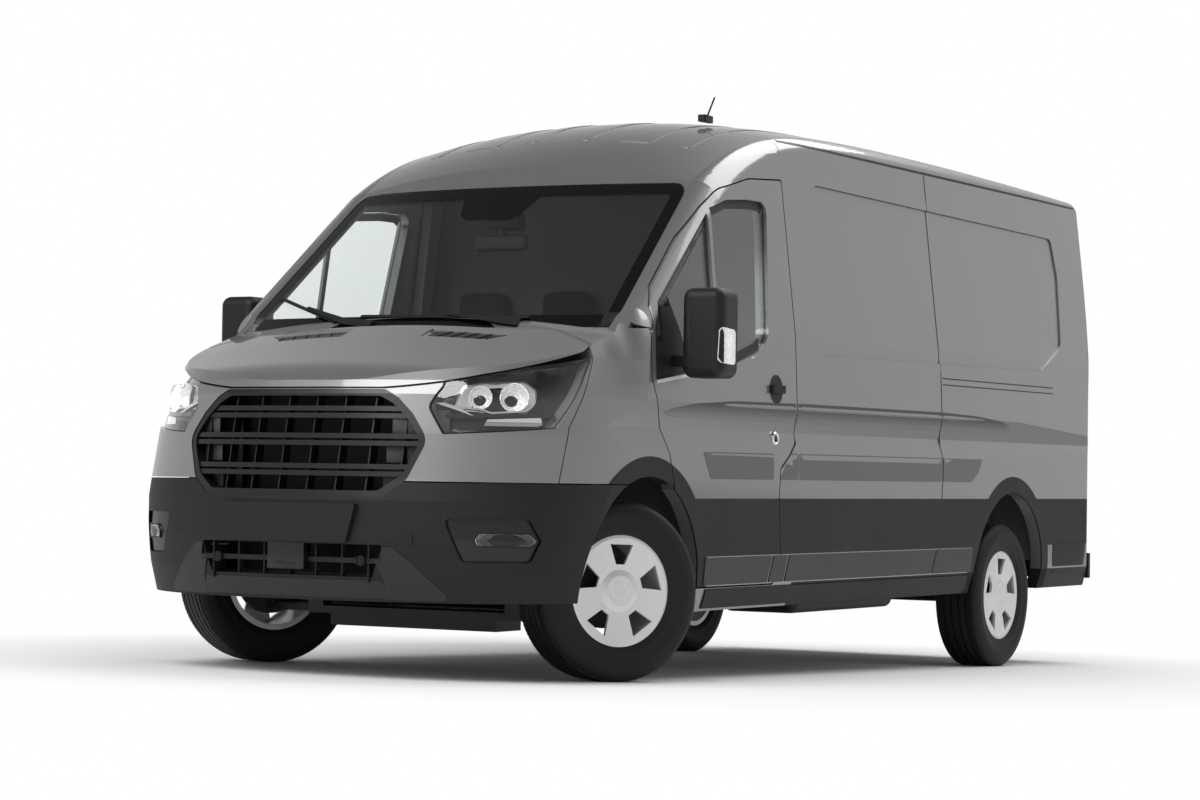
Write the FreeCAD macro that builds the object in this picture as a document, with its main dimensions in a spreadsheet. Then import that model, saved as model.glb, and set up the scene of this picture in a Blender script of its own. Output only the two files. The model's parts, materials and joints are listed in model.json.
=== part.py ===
import FreeCAD, Part
import math
import os
import Sketcher

# Panel van with a long wheelbase and a medium roof.
# Row frame in millimetres: +Z up, the front faces -Y, the van's left side is +X,
# the origin lies on the ground under the middle of its box.
# The body is drawn level, then turned about the front axle, because an empty van stands tail high.

LENGTHS = {
    # Whole vehicle
    "overall_length": 5981.0,
    "half_width": 1029.5,
    "wheelbase": 3750.0,
    "front_overhang": 1023.0,
    "track_half": 866.0,
    "frame_shift": 9.6,
    "shut_gap": 7.0,
    "seat_gap": 0.3,
    "cut_overrun": 60.0,
    # Heights on the body side, drawn level
    "sill_bottom": 262.0,
    "door_bottom": 363.0,
    "cladding_bottom": 485.0,
    "cladding_top": 722.0,
    "strip_bottom": 800.0,
    "strip_top": 906.0,
    "hollow_height": 1000.0,
    "crease_height": 1108.0,
    "belt_height": 1420.0,
    "gutter_height": 2278.0,
    "roof_height": 2428.0,
    # Half widths at those heights
    "sill_half": 972.0,
    "door_bottom_half": 1003.0,
    "cladding_half": 1015.0,
    "hollow_half": 1006.0,
    "crease_half": 1022.0,
    "belt_half": 1008.0,
    "gutter_half": 907.0,
    # Shell
    "wall": 62.0,
    "roof_wall": 45.0,
    "side_rounding": 18.0,
    "rear_corner_radius": 75.0,
    "rear_taper": 16.0,
    "load_floor_height": 455.0,
    "floor_thickness": 50.0,
    "cab_floor_height": 395.0,
    "pillar_y": -668.0,
    "sliding_rear_y": 885.0,
    "rear_face_y": 2905.0,
    "bulkhead_y": -560.0,
    "bulkhead_thickness": 28.0,
    "recess_depth": 9.0,
    "panel_groove": 5.0,
    "wing_tail_length": 240.0,
    "pillar_out": 14.0,
    "pillar_down": 36.0,
    "pillar_radius": 34.0,
    "post_width": 50.0,
    "post_depth": 80.0,
    "post_front_y": -1950.0,
    "post_sill_y": -1500.0,
    "pillar_foot_length": 140.0,
    "pillar_foot_rise": 90.0,
    "scuttle_front_y": -2180.0,
    "scuttle_bottom": 1225.0,
    "scuttle_top": 1300.0,
    "wheelhouse_top": 836.0,
    "wheelhouse_half": 515.0,
    "recess_front_y": -465.0,
    "recess_rear_y": 2529.0,
    "recess_bottom": 1350.0,
    "recess_top": 2107.0,
    "sliding_radius": 60.0,
    "sliding_bottom": 402.0,
    "sliding_top": 2215.0,
    # Windscreen
    "glass_thickness": 6.0,
    "glass_setback": 3.0,
    "screen_bottom": 1392.0,
    "screen_top": 2034.0,
    "screen_bottom_half": 898.0,
    "screen_top_half": 818.0,
    "screen_base_y": -2232.0,
    # Front end
    "bumper_bottom": 322.0,
    "bumper_top": 778.0,
    "bonnet_edge_height": 1133.0,
    "bonnet_thickness": 26.0,
    "bonnet_rear_y": -2120.0,
    "nose_wall": 40.0,
    "lamp_depth": 110.0,
    "grille_half": 556.0,
    "grille_bottom": 706.0,
    "grille_top": 1128.0,
    "grille_rim": 26.0,
    "grille_depth": 70.0,
    "bar_height": 19.0,
    "bar_depth": 26.0,
    "rib_width": 6.0,
    "radiator_setback": 236.0,
    "radiator_thickness": 45.0,
    "intake_half": 420.0,
    "intake_bottom": 415.0,
    "intake_top": 537.0,
    "plinth_half": 322.0,
    "plinth_depth": 9.0,
    "fog_inner_x": 640.0,
    "fog_outer_x": 930.0,
    "fog_bottom": 478.0,
    "fog_top": 640.0,
    "towing_eye_x": 505.0,
    "towing_eye_height": 560.0,
    "towing_eye_radius": 10.2,
    "towing_boss_radius": 30.0,
    "towing_boss_length": 80.0,
    # Wheel arches
    "arch_radius": 452.0,
    "arch_band": 80.0,
    "arch_y_offset": -17.0,
    "rear_arch_height": 300.0,
    "arch_box_half": 696.0,
    "arch_box_top": 790.0,
    # Doors
    "door_front_y": -1955.0,
    "door_top": 2094.0,
    "window_top": 1984.0,
    "window_low": 1176.0,
    "window_rear_y": -842.0,
    "window_front_y": -1938.0,
    "door_glass_thickness": 5.0,
    "door_cladding_thickness": 7.0,
    "rear_door_half": 862.0,
    "rear_door_top": 2215.0,
    "rear_door_bottom": 440.0,
    "rear_hinge_x": 868.0,
    "rear_hinge_y": 2924.0,
    "rear_door_gap": 10.0,
    "rear_panel_depth": 10.0,
    "rear_panel_edge": 90.0,
    "rear_panel_split": 1270.0,
    "hinge_radius": 13.0,
    "hinge_half": 55.0,
    "handle_length": 120.0,
    "handle_width": 34.0,
    "handle_stand": 30.0,
    "window_inner_x": 600.0,
    "door_glass_setback": 16.0,
    "quarter_bar_y": -1385.0,
    "quarter_bar_width": 26.0,
    "handle_y": -870.0,
    "handle_height": 1186.0,
    "handle_foot_x": 1008.0,
    "handle_foot": 16.0,
    "wing_low_y": -2570.0,
    "wing_mid_y": -2500.0,
    "lamp_rear_y": -2292.0,
    "lamp_top": 1262.0,
    "lamp_bottom": 947.0,
    "lamp_bottom_rear": 988.0,
    "lamp_middle": 1060.0,
    "lamp_inner_x": 580.0,
    "lamp_nose": 38.0,
    "lamp_setback": 4.0,
    "vent_inner_x": 190.0,
    "vent_outer_x": 590.0,
    "vent_rear_y": -2275.0,
    "vent_front_y": -2370.0,
    "vent_length": 110.0,
    "plinth_bottom": 543.0,
    "plinth_top": 690.0,
    "fog_setback": 14.0,
    "fog_slant": 60.0,
    "bar_setback": 10.0,
    "radiator_half": 435.0,
    "radiator_bottom": 420.3,
    "radiator_top": 1100.0,
    # Mirrors
    "mirror_outer_x": 1237.0,
    "mirror_inner_x": 1052.0,
    "mirror_front_y": -1800.0,
    "mirror_back_y": -1655.0,
    "mirror_bottom": 1203.0,
    "mirror_top": 1562.0,
    "mirror_rounding": 42.0,
    "mirror_arm_thickness": 44.0,
    # Tyres and wheels
    "tyre_radius": 356.0,
    "tread_half": 92.0,
    "sidewall_half": 117.5,
    "sidewall_radius": 305.0,
    "bead_radius": 206.0,
    "bead_half": 88.0,
    "barrel_half": 88.3,
    "barrel_radius": 205.7,
    "rim_lip_radius": 219.0,
    "rim_lip_half": 96.0,
    "rim_back_radius": 196.0,
    "cover_radius": 208.0,
    "cover_face": 100.0,
    "cover_dish_radius": 84.0,
    "cover_dish_face": 88.0,
    "cover_cap_radius": 60.0,
    "cover_cap_face": 97.0,
    "cover_back_face": 76.0,
    "cover_back_radius": 80.0,
    "cover_bore_face": 84.0,
    "opening_inner": 104.0,
    "opening_outer": 182.0,
    "opening_inner_half": 20.0,
    "opening_outer_half": 52.0,
    # Steering and front axle
    "kingpin_x": 790.0,
    "hub_radius": 60.0,
    "hub_end": 70.0,
    "disc_radius": 150.0,
    "disc_near": 22.0,
    "disc_far": 48.0,
    "upright_half": 17.0,
    "upright_depth": 45.0,
    "upright_top": 470.0,
    "upright_bottom": 268.0,
    "strut_offset": 100.0,
    "strut_radius": 24.0,
    "strut_low": 440.0,
    "strut_top": 812.0,
    "spring_radius": 50.0,
    "spring_low": 640.0,
    "spring_top": 800.0,
    "steering_arm": 100.0,
    "steering_arm_low": 276.0,
    "steering_arm_high": 300.0,
    "steering_arm_half": 14.0,
    "rod_radius": 12.0,
    "rod_height": 256.0,
    "rod_offset": 95.0,
    "rack_radius": 24.0,
    "rack_half": 330.0,
    "rest_rack_shift": 50.6,
    "arm_bottom": 225.0,
    "arm_top": 255.0,
    "arm_inner_depth": 50.0,
    "arm_outer_depth": 16.0,
    "arm_end": 4.0,
    "stud_radius": 13.0,
    "stud_top": 262.0,
    "subframe_half": 512.0,
    "subframe_front": 132.0,
    "subframe_rear": 60.0,
    "subframe_bottom": 178.0,
    "beam_half": 400.0,
    # Rear axle, from the rear wheels' centre
    "beam_radius": 42.0,
    "rear_hub_start": 745.0,
    "rear_disc_inner": 800.0,
    "rear_disc_outer": 828.0,
    "spring_x": 476.0,
    "spring_half_width": 34.0,
    "spring_half_length": 690.0,
    "spring_eye_half": 620.0,
    "spring_seat_half": 130.0,
    "leaf_bottom": 36.0,
    "leaf_end_bottom": 56.0,
    "leaf_top": 52.0,
    "leaf_end_top": 70.2,
    # Underbody
    "rail_x": 476.0,
    "rail_half": 36.0,
    "rail_front_y": -2857.2,
    "rail_rear_y": 2830.0,
    "rail_top": 404.7,
    "rail_bottom": 308.7,
    "cab_rail_top": 348.7,
    "cab_rail_bottom": 252.7,
    "cab_rail_front_y": -1840.0,
    "cab_rail_rear_y": -546.0,
    "nose_rail_bottom": 420.0,
    "nose_rail_top": 516.0,
    "nose_rail_rear_y": -1892.3,
    "cross_depth": 80.0,
    "tank_inner_x": 530.0,
    "tank_outer_x": 895.0,
    "tank_front_y": -420.0,
    "tank_rear_y": 640.0,
    "tank_bottom": 214.0,
    "tank_top": 404.7,
    "tank_rounding": 40.0,
    "pipe_radius": 28.0,
    "pipe_x": -220.0,
    "silencer_radius": 80.0,
    "silencer_front_y": -300.0,
    "silencer_rear_y": 330.0,
    "pipe_high": 316.0,
    "pipe_low": 214.0,
    "pipe_start_height": 420.0,
    "pipe_bend_y": -1960.0,
    "pipe_drop_y": -1840.0,
    "pipe_level_y": -1700.0,
    "outlet_bend_y": 900.0,
    "outlet_y": 1010.0,
    "outlet_x": -905.0,
    "spare_y": 2466.0,
    "spare_radius": 340.0,
    "spare_rim_radius": 215.0,
    "spare_half": 92.0,
    "spare_rim_half": 60.0,
    "engine_half": 380.0,
    "engine_front_y": -2600.0,
    "engine_rear_y": -2040.3,
    "engine_bottom": 360.0,
    "engine_top": 960.0,
    # Cab
    "toe_y": -1880.0,
    "toe_thickness": 12.0,
    "liner_front_y": -2430.0,
    "liner_outer_x": 900.0,
    "liner_thickness": 15.0,
    "liner_bottom": 530.0,
    "dash_half": 865.0,
    "dash_front_y": -1869.5,
    "dash_nose_y": -2120.0,
    "dash_face_y": -1575.0,
    "dash_foot_y": -1700.0,
    "dash_bottom": 940.0,
    "dash_shelf": 1300.4,
    "dash_top": 1346.0,
    "dash_brow": 1285.0,
    "dash_knee": 1010.0,
    "steering_wheel_radius": 190.0,
    "steering_rim": 14.0,
    "steering_wheel_x": 470.0,
    "steering_wheel_y": -1420.0,
    "steering_wheel_height": 1245.0,
    "steering_hub_radius": 46.0,
    "steering_hub_half": 22.0,
    "steering_spoke_half": 16.0,
    "column_radius": 26.0,
    "column_length": 80.0,
    "shroud_start": 90.0,
    "shroud_end": 260.0,
    "shroud_radius": 40.0,
    "seat_half": 250.0,
    "bench_inner_x": 75.0,
    "bench_outer_x": -835.0,
    "seat_front_y": -1200.0,
    "seat_foot_y": -1150.0,
    "seat_nose": 715.0,
    "seat_top": 840.0,
    "seat_fold_y": -765.0,
    "seat_fold": 822.0,
    "seat_back_y": -665.0,
    "seat_back_top": 1450.0,
    "seat_rear_top_y": -600.0,
    "seat_rear_y": -640.0,
    "seat_heel_y": -690.0,
    "headrest_bottom": 1440.0,
    "headrest_top": 1640.0,
    "headrest_half": 130.0,
    "headrest_front_y": -668.0,
    "headrest_rear_y": -596.0,
    "seat_rounding": 26.0,
    # Rear end
    "rear_bumper_bottom": 300.0,
    "rear_bumper_top": 432.0,
    "rear_bumper_half": 1000.0,
    "rear_bumper_edge": 940.0,
    "rear_bumper_corner_y": 2935.0,
    "rear_member_half": 861.0,
    "rear_bumper_rear_y": 2982.0,
    "rear_member_front_y": 2837.0,
    "tail_lamp_x": 884.0,
    "tail_lamp_depth": 42.0,
    "tail_lamp_bottom": 900.0,
    "tail_lamp_top": 1500.0,
    "towbar_radius": 8.5,
    "towbar_half_spacing": 60.0,
    # Aerial
    "aerial_x": 500.0,
    "aerial_y": -564.0,
    "aerial_foot_height": 2380.0,
    "aerial_length": 128.0,
    "aerial_radius": 4.0,
    "aerial_base_half": 48.0,
    "aerial_base_half_width": 22.0,
    "aerial_base_height": 30.0,
}

ANGLES = {
    "rake_angle": 1.8,
    "rest_steer_angle": -29.0,
    "column_angle": 52.0,
    "aerial_angle": 36.0,
}

COUNTS = {
    "wheel_openings": 5,
    "grille_ribs": 8,
    "intake_ribs": 7,
}

doc = FreeCAD.newDocument("PanelVan")
sheet = doc.addObject("Spreadsheet::Sheet", "Sizes")


def fill_sheet():
    """Writes each driving value beside its name and gives the cell that name."""
    row = 1
    for table in (LENGTHS, ANGLES, COUNTS):
        for name, value in table.items():
            sheet.set("A%d" % row, name)
            sheet.set("B%d" % row, repr(value))
            sheet.setAlias("B%d" % row, name)
            row += 1
    doc.recompute()


class Reader:
    """Reads a named size from the sheet as a number."""

    def __getattr__(self, name):
        return float(sheet.get(name))


fill_sheet()
S = Reader()
V = FreeCAD.Vector
X_AXIS, Y_AXIS, Z_AXIS = V(1, 0, 0), V(0, 1, 0), V(0, 0, 1)

FRONT_Y = -S.overall_length / 2
FRONT_AXLE_Y = FRONT_Y + S.front_overhang
REAR_AXLE_Y = FRONT_AXLE_Y + S.wheelbase
OUT = S.half_width + S.cut_overrun
BODY_RAKE = FreeCAD.Placement(
    V(0, S.frame_shift, 0), FreeCAD.Rotation(X_AXIS, S.rake_angle),
    V(0, FRONT_AXLE_Y, S.tyre_radius))
PIECES = []


# Outlines

def spot(axis, level, first, second):
    """A point in the plane that stands across an axis at a level."""
    if axis == "X":
        return V(level, first, second)
    if axis == "Y":
        return V(first, level, second)
    return V(first, second, level)


def outline(axis, level, corners):
    """Closed wire through corners given as (first, second, radius), each rounded by a true arc."""
    places = [spot(axis, level, first, second) for first, second, radius in corners]
    edges, ends = [], []
    for index, corner in enumerate(places):
        before = places[index - 1] - corner
        after = places[(index + 1) % len(places)] - corner
        radius = corners[index][2]
        if radius <= 0:
            ends.append((corner, corner))
            continue
        turn = before.getAngle(after)
        back = radius / math.tan(turn / 2)
        back = min(back, before.Length * 0.45, after.Length * 0.45)
        start = corner + before.normalize() * back
        end = corner + after.normalize() * back
        bisector = (start + end) * 0.5 - corner
        reach = math.sqrt(back ** 2 + (back * math.tan(turn / 2)) ** 2)
        middle = corner + bisector.normalize() * (reach - back * math.tan(turn / 2))
        edges.append(Part.Arc(start, middle, end).toShape())
        ends.append((start, end))
    for index in range(len(ends)):
        start, end = ends[index][1], ends[(index + 1) % len(ends)][0]
        if start.distanceToPoint(end) > S.seat_gap:
            edges.append(Part.makeLine(start, end))
    return Part.Wire(Part.__sortEdges__(edges))


def plate(axis, low, high, corners):
    """Solid between two levels on an axis with a rounded outline."""
    face = Part.Face(outline(axis, low, corners))
    return face.extrude(spot(axis, high - low, 0, 0))


def within(shares, first_low, first_high, second_low, second_high):
    """Places a table of shares in a box: each row is (first share, second share, radius share)."""
    wide, tall = first_high - first_low, second_high - second_low
    return [(first_low + first * wide, second_low + second * tall, radius * abs(tall))
            for first, second, radius in shares]


def block(x_low, x_high, y_low, y_high, z_low, z_high):
    """Plain box between named places."""
    return Part.makeBox(x_high - x_low, y_high - y_low, z_high - z_low, V(x_low, y_low, z_low))


def rod(start, end, radius):
    """Round bar between two points."""
    return Part.makeCylinder(radius, start.distanceToPoint(end), start, end - start)


def mirrored(shape):
    """The same piece on the other side of the van."""
    return shape.mirror(V(0, 0, 0), X_AXIS)


def joined(shapes):
    """One solid from pieces that overlap."""
    return shapes[0].fuse(shapes[1:]).removeSplitter()


def group(shapes):
    """Like pieces that don't touch, kept as separate solids in one shape."""
    solids = []
    for shape in shapes:
        solids.extend(shape.Solids)
    return Part.makeCompound(solids)


def largest(shape):
    """The main solid of a cut, without the crumbs outside the outline."""
    return max(shape.Solids, key=lambda solid: solid.Volume)


def add_piece(label, shape, place):
    """Stores a shape made from named sizes as a document object."""
    item = doc.addObject("Part::Feature", label)
    item.Shape = Part.makeCompound(shape.Solids)
    item.Label = label
    item.Placement = place
    PIECES.append(item)
    return item


# Outer form of the cab and load space

def side_section(inset):
    """Half section of the body side from the sill to above the belt, drawn as (x, z, radius)."""
    bend = S.side_rounding
    return [
        (S.sill_half - inset, S.sill_bottom, 0),
        (S.door_bottom_half - inset, S.door_bottom, bend),
        (S.cladding_half - inset, S.cladding_bottom, 0),
        (S.half_width - inset, S.strip_bottom, bend),
        (S.half_width - inset, S.strip_top, bend),
        (S.hollow_half - inset, S.hollow_height, bend),
        (S.crease_half - inset, S.crease_height, bend),
        (S.belt_half - inset, S.belt_height, 0),
    ]


def both_sides(half):
    """Closes a half section with its mirror image."""
    return half + [(-first, second, radius) for first, second, radius in reversed(half)]


def lower_prism(y_low, y_high, inset):
    """Body side swept along the van, straight up above the belt."""
    half = side_section(inset)
    half.append((half[-1][0], S.roof_height + S.cut_overrun, 0))
    return plate("Y", y_low, y_high, both_sides(half))


# Roof line: (share of length, share of half width, share of roof height, crown share, corner share,
# how far down the corner the roof's seam lies)
ROOF_STATION_SHARES = [
    (0.2850, 0.794, 0.8413, 0.037, 0.036, 0.00),
    (0.3110, 0.805, 0.8770, 0.037, 0.036, 0.15),
    (0.3480, 0.812, 0.9150, 0.037, 0.034, 0.45),
    (0.3950, 0.817, 0.9440, 0.037, 0.031, 0.90),
    (0.4600, 0.817, 0.9590, 0.036, 0.028, 0.95),
    (0.5600, 0.815, 0.9650, 0.035, 0.027, 0.95),
    (0.7000, 0.815, 0.9650, 0.035, 0.027, 0.95),
    (0.8600, 0.814, 0.9600, 0.034, 0.027, 0.95),
    (1.0200, 0.812, 0.9510, 0.033, 0.027, 0.95),
]
# The windscreen's two ends, in the same shares
SCREEN_STATION_SHARES = [
    (0.0900, 0.905, 0.4420, 0.037, 0.036, 0.00),
    (0.2850, 0.794, 0.8413, 0.037, 0.036, 0.00),
]
CORNER_BULGE_SHARE = 0.177


def canopy_section(station, inset, top_inset):
    """Section across the van under the roof or the windscreen."""
    length_share, half_share, edge_share, crown_share, corner_share = station[:5]
    y = FRONT_Y + length_share * S.overall_length
    slope = (S.belt_half - S.gutter_half) / (S.gutter_height - S.belt_height)
    edge_x = half_share * S.half_width - inset
    edge_z = edge_share * S.roof_height - top_inset
    corner_z = edge_z - corner_share * S.roof_height
    corner_x = S.gutter_half + (S.gutter_height - corner_z) * slope - inset
    foot_z = S.sill_bottom - S.cut_overrun
    foot_x = S.gutter_half + (S.gutter_height - foot_z) * slope - inset
    crown_z = edge_z + crown_share * S.roof_height
    foot, corner, edge = V(foot_x, y, foot_z), V(corner_x, y, corner_z), V(edge_x, y, edge_z)
    chord = edge - corner
    outward = V(-chord.z, 0, chord.x).normalize() * -1
    middle = (corner + edge) * 0.5 + outward * chord.Length * CORNER_BULGE_SHARE
    flip = lambda point: V(-point.x, point.y, point.z)
    edges = [
        Part.makeLine(flip(foot), foot),
        Part.makeLine(foot, corner),
        Part.Arc(corner, middle, edge).toShape(),
        Part.Arc(edge, V(0, y, crown_z), flip(edge)).toShape(),
        Part.Arc(flip(edge), flip(middle), flip(corner)).toShape(),
        Part.makeLine(flip(corner), flip(foot)),
    ]
    return Part.Wire(edges)


def canopy(inset, top_inset):
    """Everything under the windscreen and the roof, as one solid."""
    screen = Part.makeLoft([canopy_section(station, inset, top_inset)
                            for station in SCREEN_STATION_SHARES], True, True)
    roof = Part.makeLoft([canopy_section(station, inset, top_inset)
                          for station in ROOF_STATION_SHARES], True, False)
    return screen.fuse(roof)


def body_plan(inset):
    """The body seen from above, with rounded rear corners."""
    half, rear = S.half_width - inset, S.rear_face_y - inset
    radius = S.rear_corner_radius
    return plate("Z", S.sill_bottom - S.cut_overrun, S.roof_height * 2, [
        (-half - S.cut_overrun, FRONT_Y, 0), (half + S.cut_overrun, FRONT_Y, 0),
        (half + S.cut_overrun, S.sliding_rear_y, 0), (half, S.sliding_rear_y, 0),
        (half - S.rear_taper, rear, radius), (-half + S.rear_taper, rear, radius),
        (-half, S.sliding_rear_y, 0), (-half - S.cut_overrun, S.sliding_rear_y, 0)])


def body_form(inset, top_inset, rear_inset):
    """Cab and load space as one solid, at a distance inside the outer skin."""
    prism = lower_prism(S.screen_base_y, S.rear_face_y + S.cut_overrun, inset)
    return prism.common(canopy(inset, top_inset)).common(body_plan(rear_inset))



# Front end: plan outlines at rising heights, under the bonnet's crowned top

# The bumper seen from above: (share of half width, setback share of the front overhang)
NOSE_PLAN_SHARES = [
    (0.000, 0.000), (0.290, 0.012), (0.486, 0.055), (0.680, 0.135),
    (0.820, 0.235), (0.915, 0.350), (0.972, 0.500), (1.000, 0.680),
]
# Levels: (share of roof height, setback share of the front overhang, width share)
NOSE_LEVEL_SHARES = [
    (0.060, 0.070, 0.960), (0.132, 0.037, 0.972), (0.180, 0.010, 0.985), (0.230, 0.000, 0.995),
    (0.290, 0.006, 1.000), (0.325, 0.024, 1.000), (0.395, 0.054, 0.990), (0.456, 0.085, 0.972),
    (0.478, 0.110, 0.962), (0.520, 0.190, 0.942), (0.580, 0.270, 0.900), (0.640, 0.330, 0.880),
]
# Bonnet: (share of length from the nose, edge share of roof height, crown share)
BONNET_STATION_SHARES = [
    (-0.020, 0.395, 0.036), (0.0150, 0.430, 0.0370), (0.0240, 0.4470, 0.0375),
    (0.0500, 0.4750, 0.0385), (0.0850, 0.5020, 0.0395), (0.1280, 0.5360, 0.0420),
    (0.1750, 0.5720, 0.0420),
]


def nose_level(level, inset):
    """Horizontal outline of the front end at one height, closed behind the door line."""
    height_share, setback_share, width_share = level
    z = height_share * S.roof_height
    front = FRONT_Y + S.plinth_depth + setback_share * S.front_overhang + inset
    half = [(first * width_share * S.half_width - inset * first,
             front + second * S.front_overhang) for first, second in NOSE_PLAN_SHARES]
    half.append((S.half_width - inset, S.door_front_y))
    left = [V(x, y, z) for x, y in half]
    right = [V(-x, y, z) for x, y in reversed(half[1:])]
    curve = Part.BSplineCurve()
    curve.interpolate(right + left)
    rear = S.pillar_y
    rear_left, rear_right = V(half[-1][0], rear, z), V(-half[-1][0], rear, z)
    return Part.Wire([
        curve.toShape(), Part.makeLine(left[-1], rear_left),
        Part.makeLine(rear_left, rear_right), Part.makeLine(rear_right, right[0])])


def nose_levels(inset):
    """Everything behind the front face, from under the bumper to above the bonnet."""
    return Part.makeLoft([nose_level(level, inset) for level in NOSE_LEVEL_SHARES], True, True)


def bonnet_section(station, top_inset):
    """Section across the van under the bonnet."""
    length_share, edge_share, crown_share = station
    y = FRONT_Y + length_share * S.overall_length
    edge_z = edge_share * S.roof_height - top_inset
    foot_z = S.sill_bottom - S.cut_overrun
    edge, foot = V(OUT, y, edge_z), V(OUT, y, foot_z)
    crown = V(0, y, edge_z + crown_share * S.roof_height)
    flip = lambda point: V(-point.x, point.y, point.z)
    return Part.Wire([
        Part.makeLine(flip(foot), foot), Part.makeLine(foot, edge),
        Part.Arc(edge, crown, flip(edge)).toShape(), Part.makeLine(flip(edge), flip(foot))])


def bonnet_top(top_inset):
    """Everything under the bonnet's surface."""
    return Part.makeLoft([bonnet_section(station, top_inset)
                          for station in BONNET_STATION_SHARES], True, False)


def nose_form(inset, top_inset):
    """The front end as one solid, at a distance inside its skin."""
    prism = lower_prism(FRONT_Y - S.cut_overrun, S.door_front_y - S.shut_gap, inset)
    return prism.common(nose_levels(inset)).common(bonnet_top(top_inset))



def side_x(z):
    """Outer half width of the body side above the belt."""
    slope = (S.belt_half - S.gutter_half) / (S.gutter_height - S.belt_height)
    return S.gutter_half + (S.gutter_height - z) * slope


LEVELS = nose_levels(0)
AHEAD = block(-OUT, OUT, FRONT_Y, S.door_front_y, S.sill_bottom - S.cut_overrun,
              S.belt_height + S.cut_overrun)
OUTER = body_form(0, 0, 0).cut(AHEAD.cut(LEVELS))
INNER = body_form(S.wall, S.roof_wall, S.wall)
SHELL = OUTER.cut(INNER)
SKIN = OUTER.cut(body_form(S.door_cladding_thickness, S.door_cladding_thickness, S.door_cladding_thickness))
NOSE = nose_form(0, 0)
NOSE_SHELL = NOSE.cut(nose_form(S.nose_wall, S.bonnet_thickness))
HIGH = S.roof_height + S.cut_overrun * 2
LOW = S.sill_bottom - S.cut_overrun
FAR_FRONT = FRONT_Y - S.cut_overrun
FAR_REAR = S.overall_length / 2 + S.cut_overrun


# Door and window outlines, as shares of their boxes: (along the van, up, corner radius)

DOOR_SHARES = [
    (0.863, 0.000, 0.010), (0.902, 0.070, 0.020), (0.867, 0.205, 0.020), (0.867, 0.281, 0.020),
    (1.000, 0.348, 0.030), (1.000, 1.000, 0.010), (0.753, 0.987, 0.150), (0.537, 0.948, 0.150),
    (0.436, 0.899, 0.080), (0.287, 0.817, 0.060), (0.087, 0.693, 0.030), (0.030, 0.645, 0.020),
    (0.000, 0.580, 0.020), (0.000, 0.482, 0.040), (0.066, 0.371, 0.060), (0.120, 0.279, 0.040),
    (0.140, 0.232, 0.010), (0.140, 0.000, 0.000),
]
WINDOW_SHARES = [
    (0.012, 0.017, 0.010), (0.653, 0.134, 0.200), (0.827, 0.200, 0.200), (0.918, 0.270, 0.200),
    (1.000, 0.965, 0.060), (0.964, 1.000, 0.040), (0.847, 1.000, 0.100), (0.661, 0.978, 0.200),
    (0.530, 0.923, 0.080), (0.063, 0.405, 0.060), (0.012, 0.280, 0.040),
]
RECESS_SHARES = [
    (0.000, 0.000, 0.090), (0.880, 0.033, 0.100), (0.985, 0.213, 0.120), (1.000, 0.700, 0.100),
    (0.985, 0.963, 0.060), (0.030, 1.000, 0.090),
]
GRILLE_SHARES = [
    (0.000, 1.000, 0.000), (0.660, 0.990, 0.120), (0.760, 0.920, 0.080), (0.880, 0.770, 0.100),
    (1.000, 0.540, 0.160), (0.890, 0.180, 0.120), (0.730, 0.020, 0.120), (0.000, 0.000, 0.000),
]
LAMP_SIDE_SHARES = [
    (-0.100, 0.580, 0.0), (0.050, 0.580, 0.0), (0.320, 0.735, 0.0), (1.000, 1.000, 0.010),
    (0.630, 0.130, 0.030), (0.050, 0.000, 0.0), (-0.100, 0.000, 0.0),
]
BONNET_LINE_SHARES = [
    (-0.100, 0.000, 0.0), (0.150, 0.000, 0.0), (0.345, 0.210, 0.0), (0.760, 0.590, 0.0),
    (0.950, 0.980, 0.0), (1.000, 1.150, 0.0),
]


def door_outline(grow):
    """The front door from the side, grown on every side."""
    return within(DOOR_SHARES, S.door_front_y - grow, S.pillar_y - S.shut_gap + grow,
                  S.door_bottom - grow, S.door_top + grow)


def window_outline(shrink):
    """The front door's glass from the side."""
    return within(WINDOW_SHARES, S.window_front_y + shrink, S.window_rear_y - shrink,
                  S.window_low + shrink, S.window_top - shrink)


def arch(y, z, radius):
    """Wheel arch cutter across the whole van."""
    return rod(V(-OUT, y, z), V(OUT, y, z), radius)


FRONT_ARCH_Y = FRONT_AXLE_Y + S.arch_y_offset
FRONT_ARCH = arch(FRONT_ARCH_Y, S.tyre_radius, S.arch_radius)
FRONT_BAND = arch(FRONT_ARCH_Y, S.tyre_radius, S.arch_radius + S.arch_band)
REAR_ARCH = arch(REAR_AXLE_Y, S.rear_arch_height, S.arch_radius)
REAR_BAND = arch(REAR_AXLE_Y, S.rear_arch_height, S.arch_radius + S.arch_band)
LEFT_HALF = block(0, OUT, FAR_FRONT, FAR_REAR, LOW, HIGH)


def roof_region():
    """Everything above the roof's seam."""
    points = [(FAR_FRONT, S.screen_top, 0)]
    for station in ROOF_STATION_SHARES:
        seam = (station[2] - station[4] * station[5]) * S.roof_height
        points.append((FRONT_Y + station[0] * S.overall_length, max(seam, S.screen_top), 0))
    points[0] = (FAR_FRONT, points[1][1], 0)
    points += [(points[-1][0], HIGH, 0), (FAR_FRONT, HIGH, 0)]
    return plate("X", -OUT, OUT, points)


ROOF_REGION = roof_region()
SIDE_BAND = block(-OUT, OUT, FAR_FRONT, FAR_REAR, S.cladding_bottom, S.cladding_top)
SIDE_COVER = SKIN.common(SIDE_BAND).fuse(SKIN.common(REAR_BAND)).fuse(SKIN.common(FRONT_BAND))
DOOR_OPENING = plate("X", -OUT, OUT, door_outline(S.shut_gap))
WING_JOINT_Y = S.door_front_y - S.shut_gap
WING_TAIL = block(-OUT, OUT, WING_JOINT_Y, S.door_front_y + S.wing_tail_length,
                  S.bumper_top, S.hollow_height + S.cut_overrun * 3)


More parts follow.
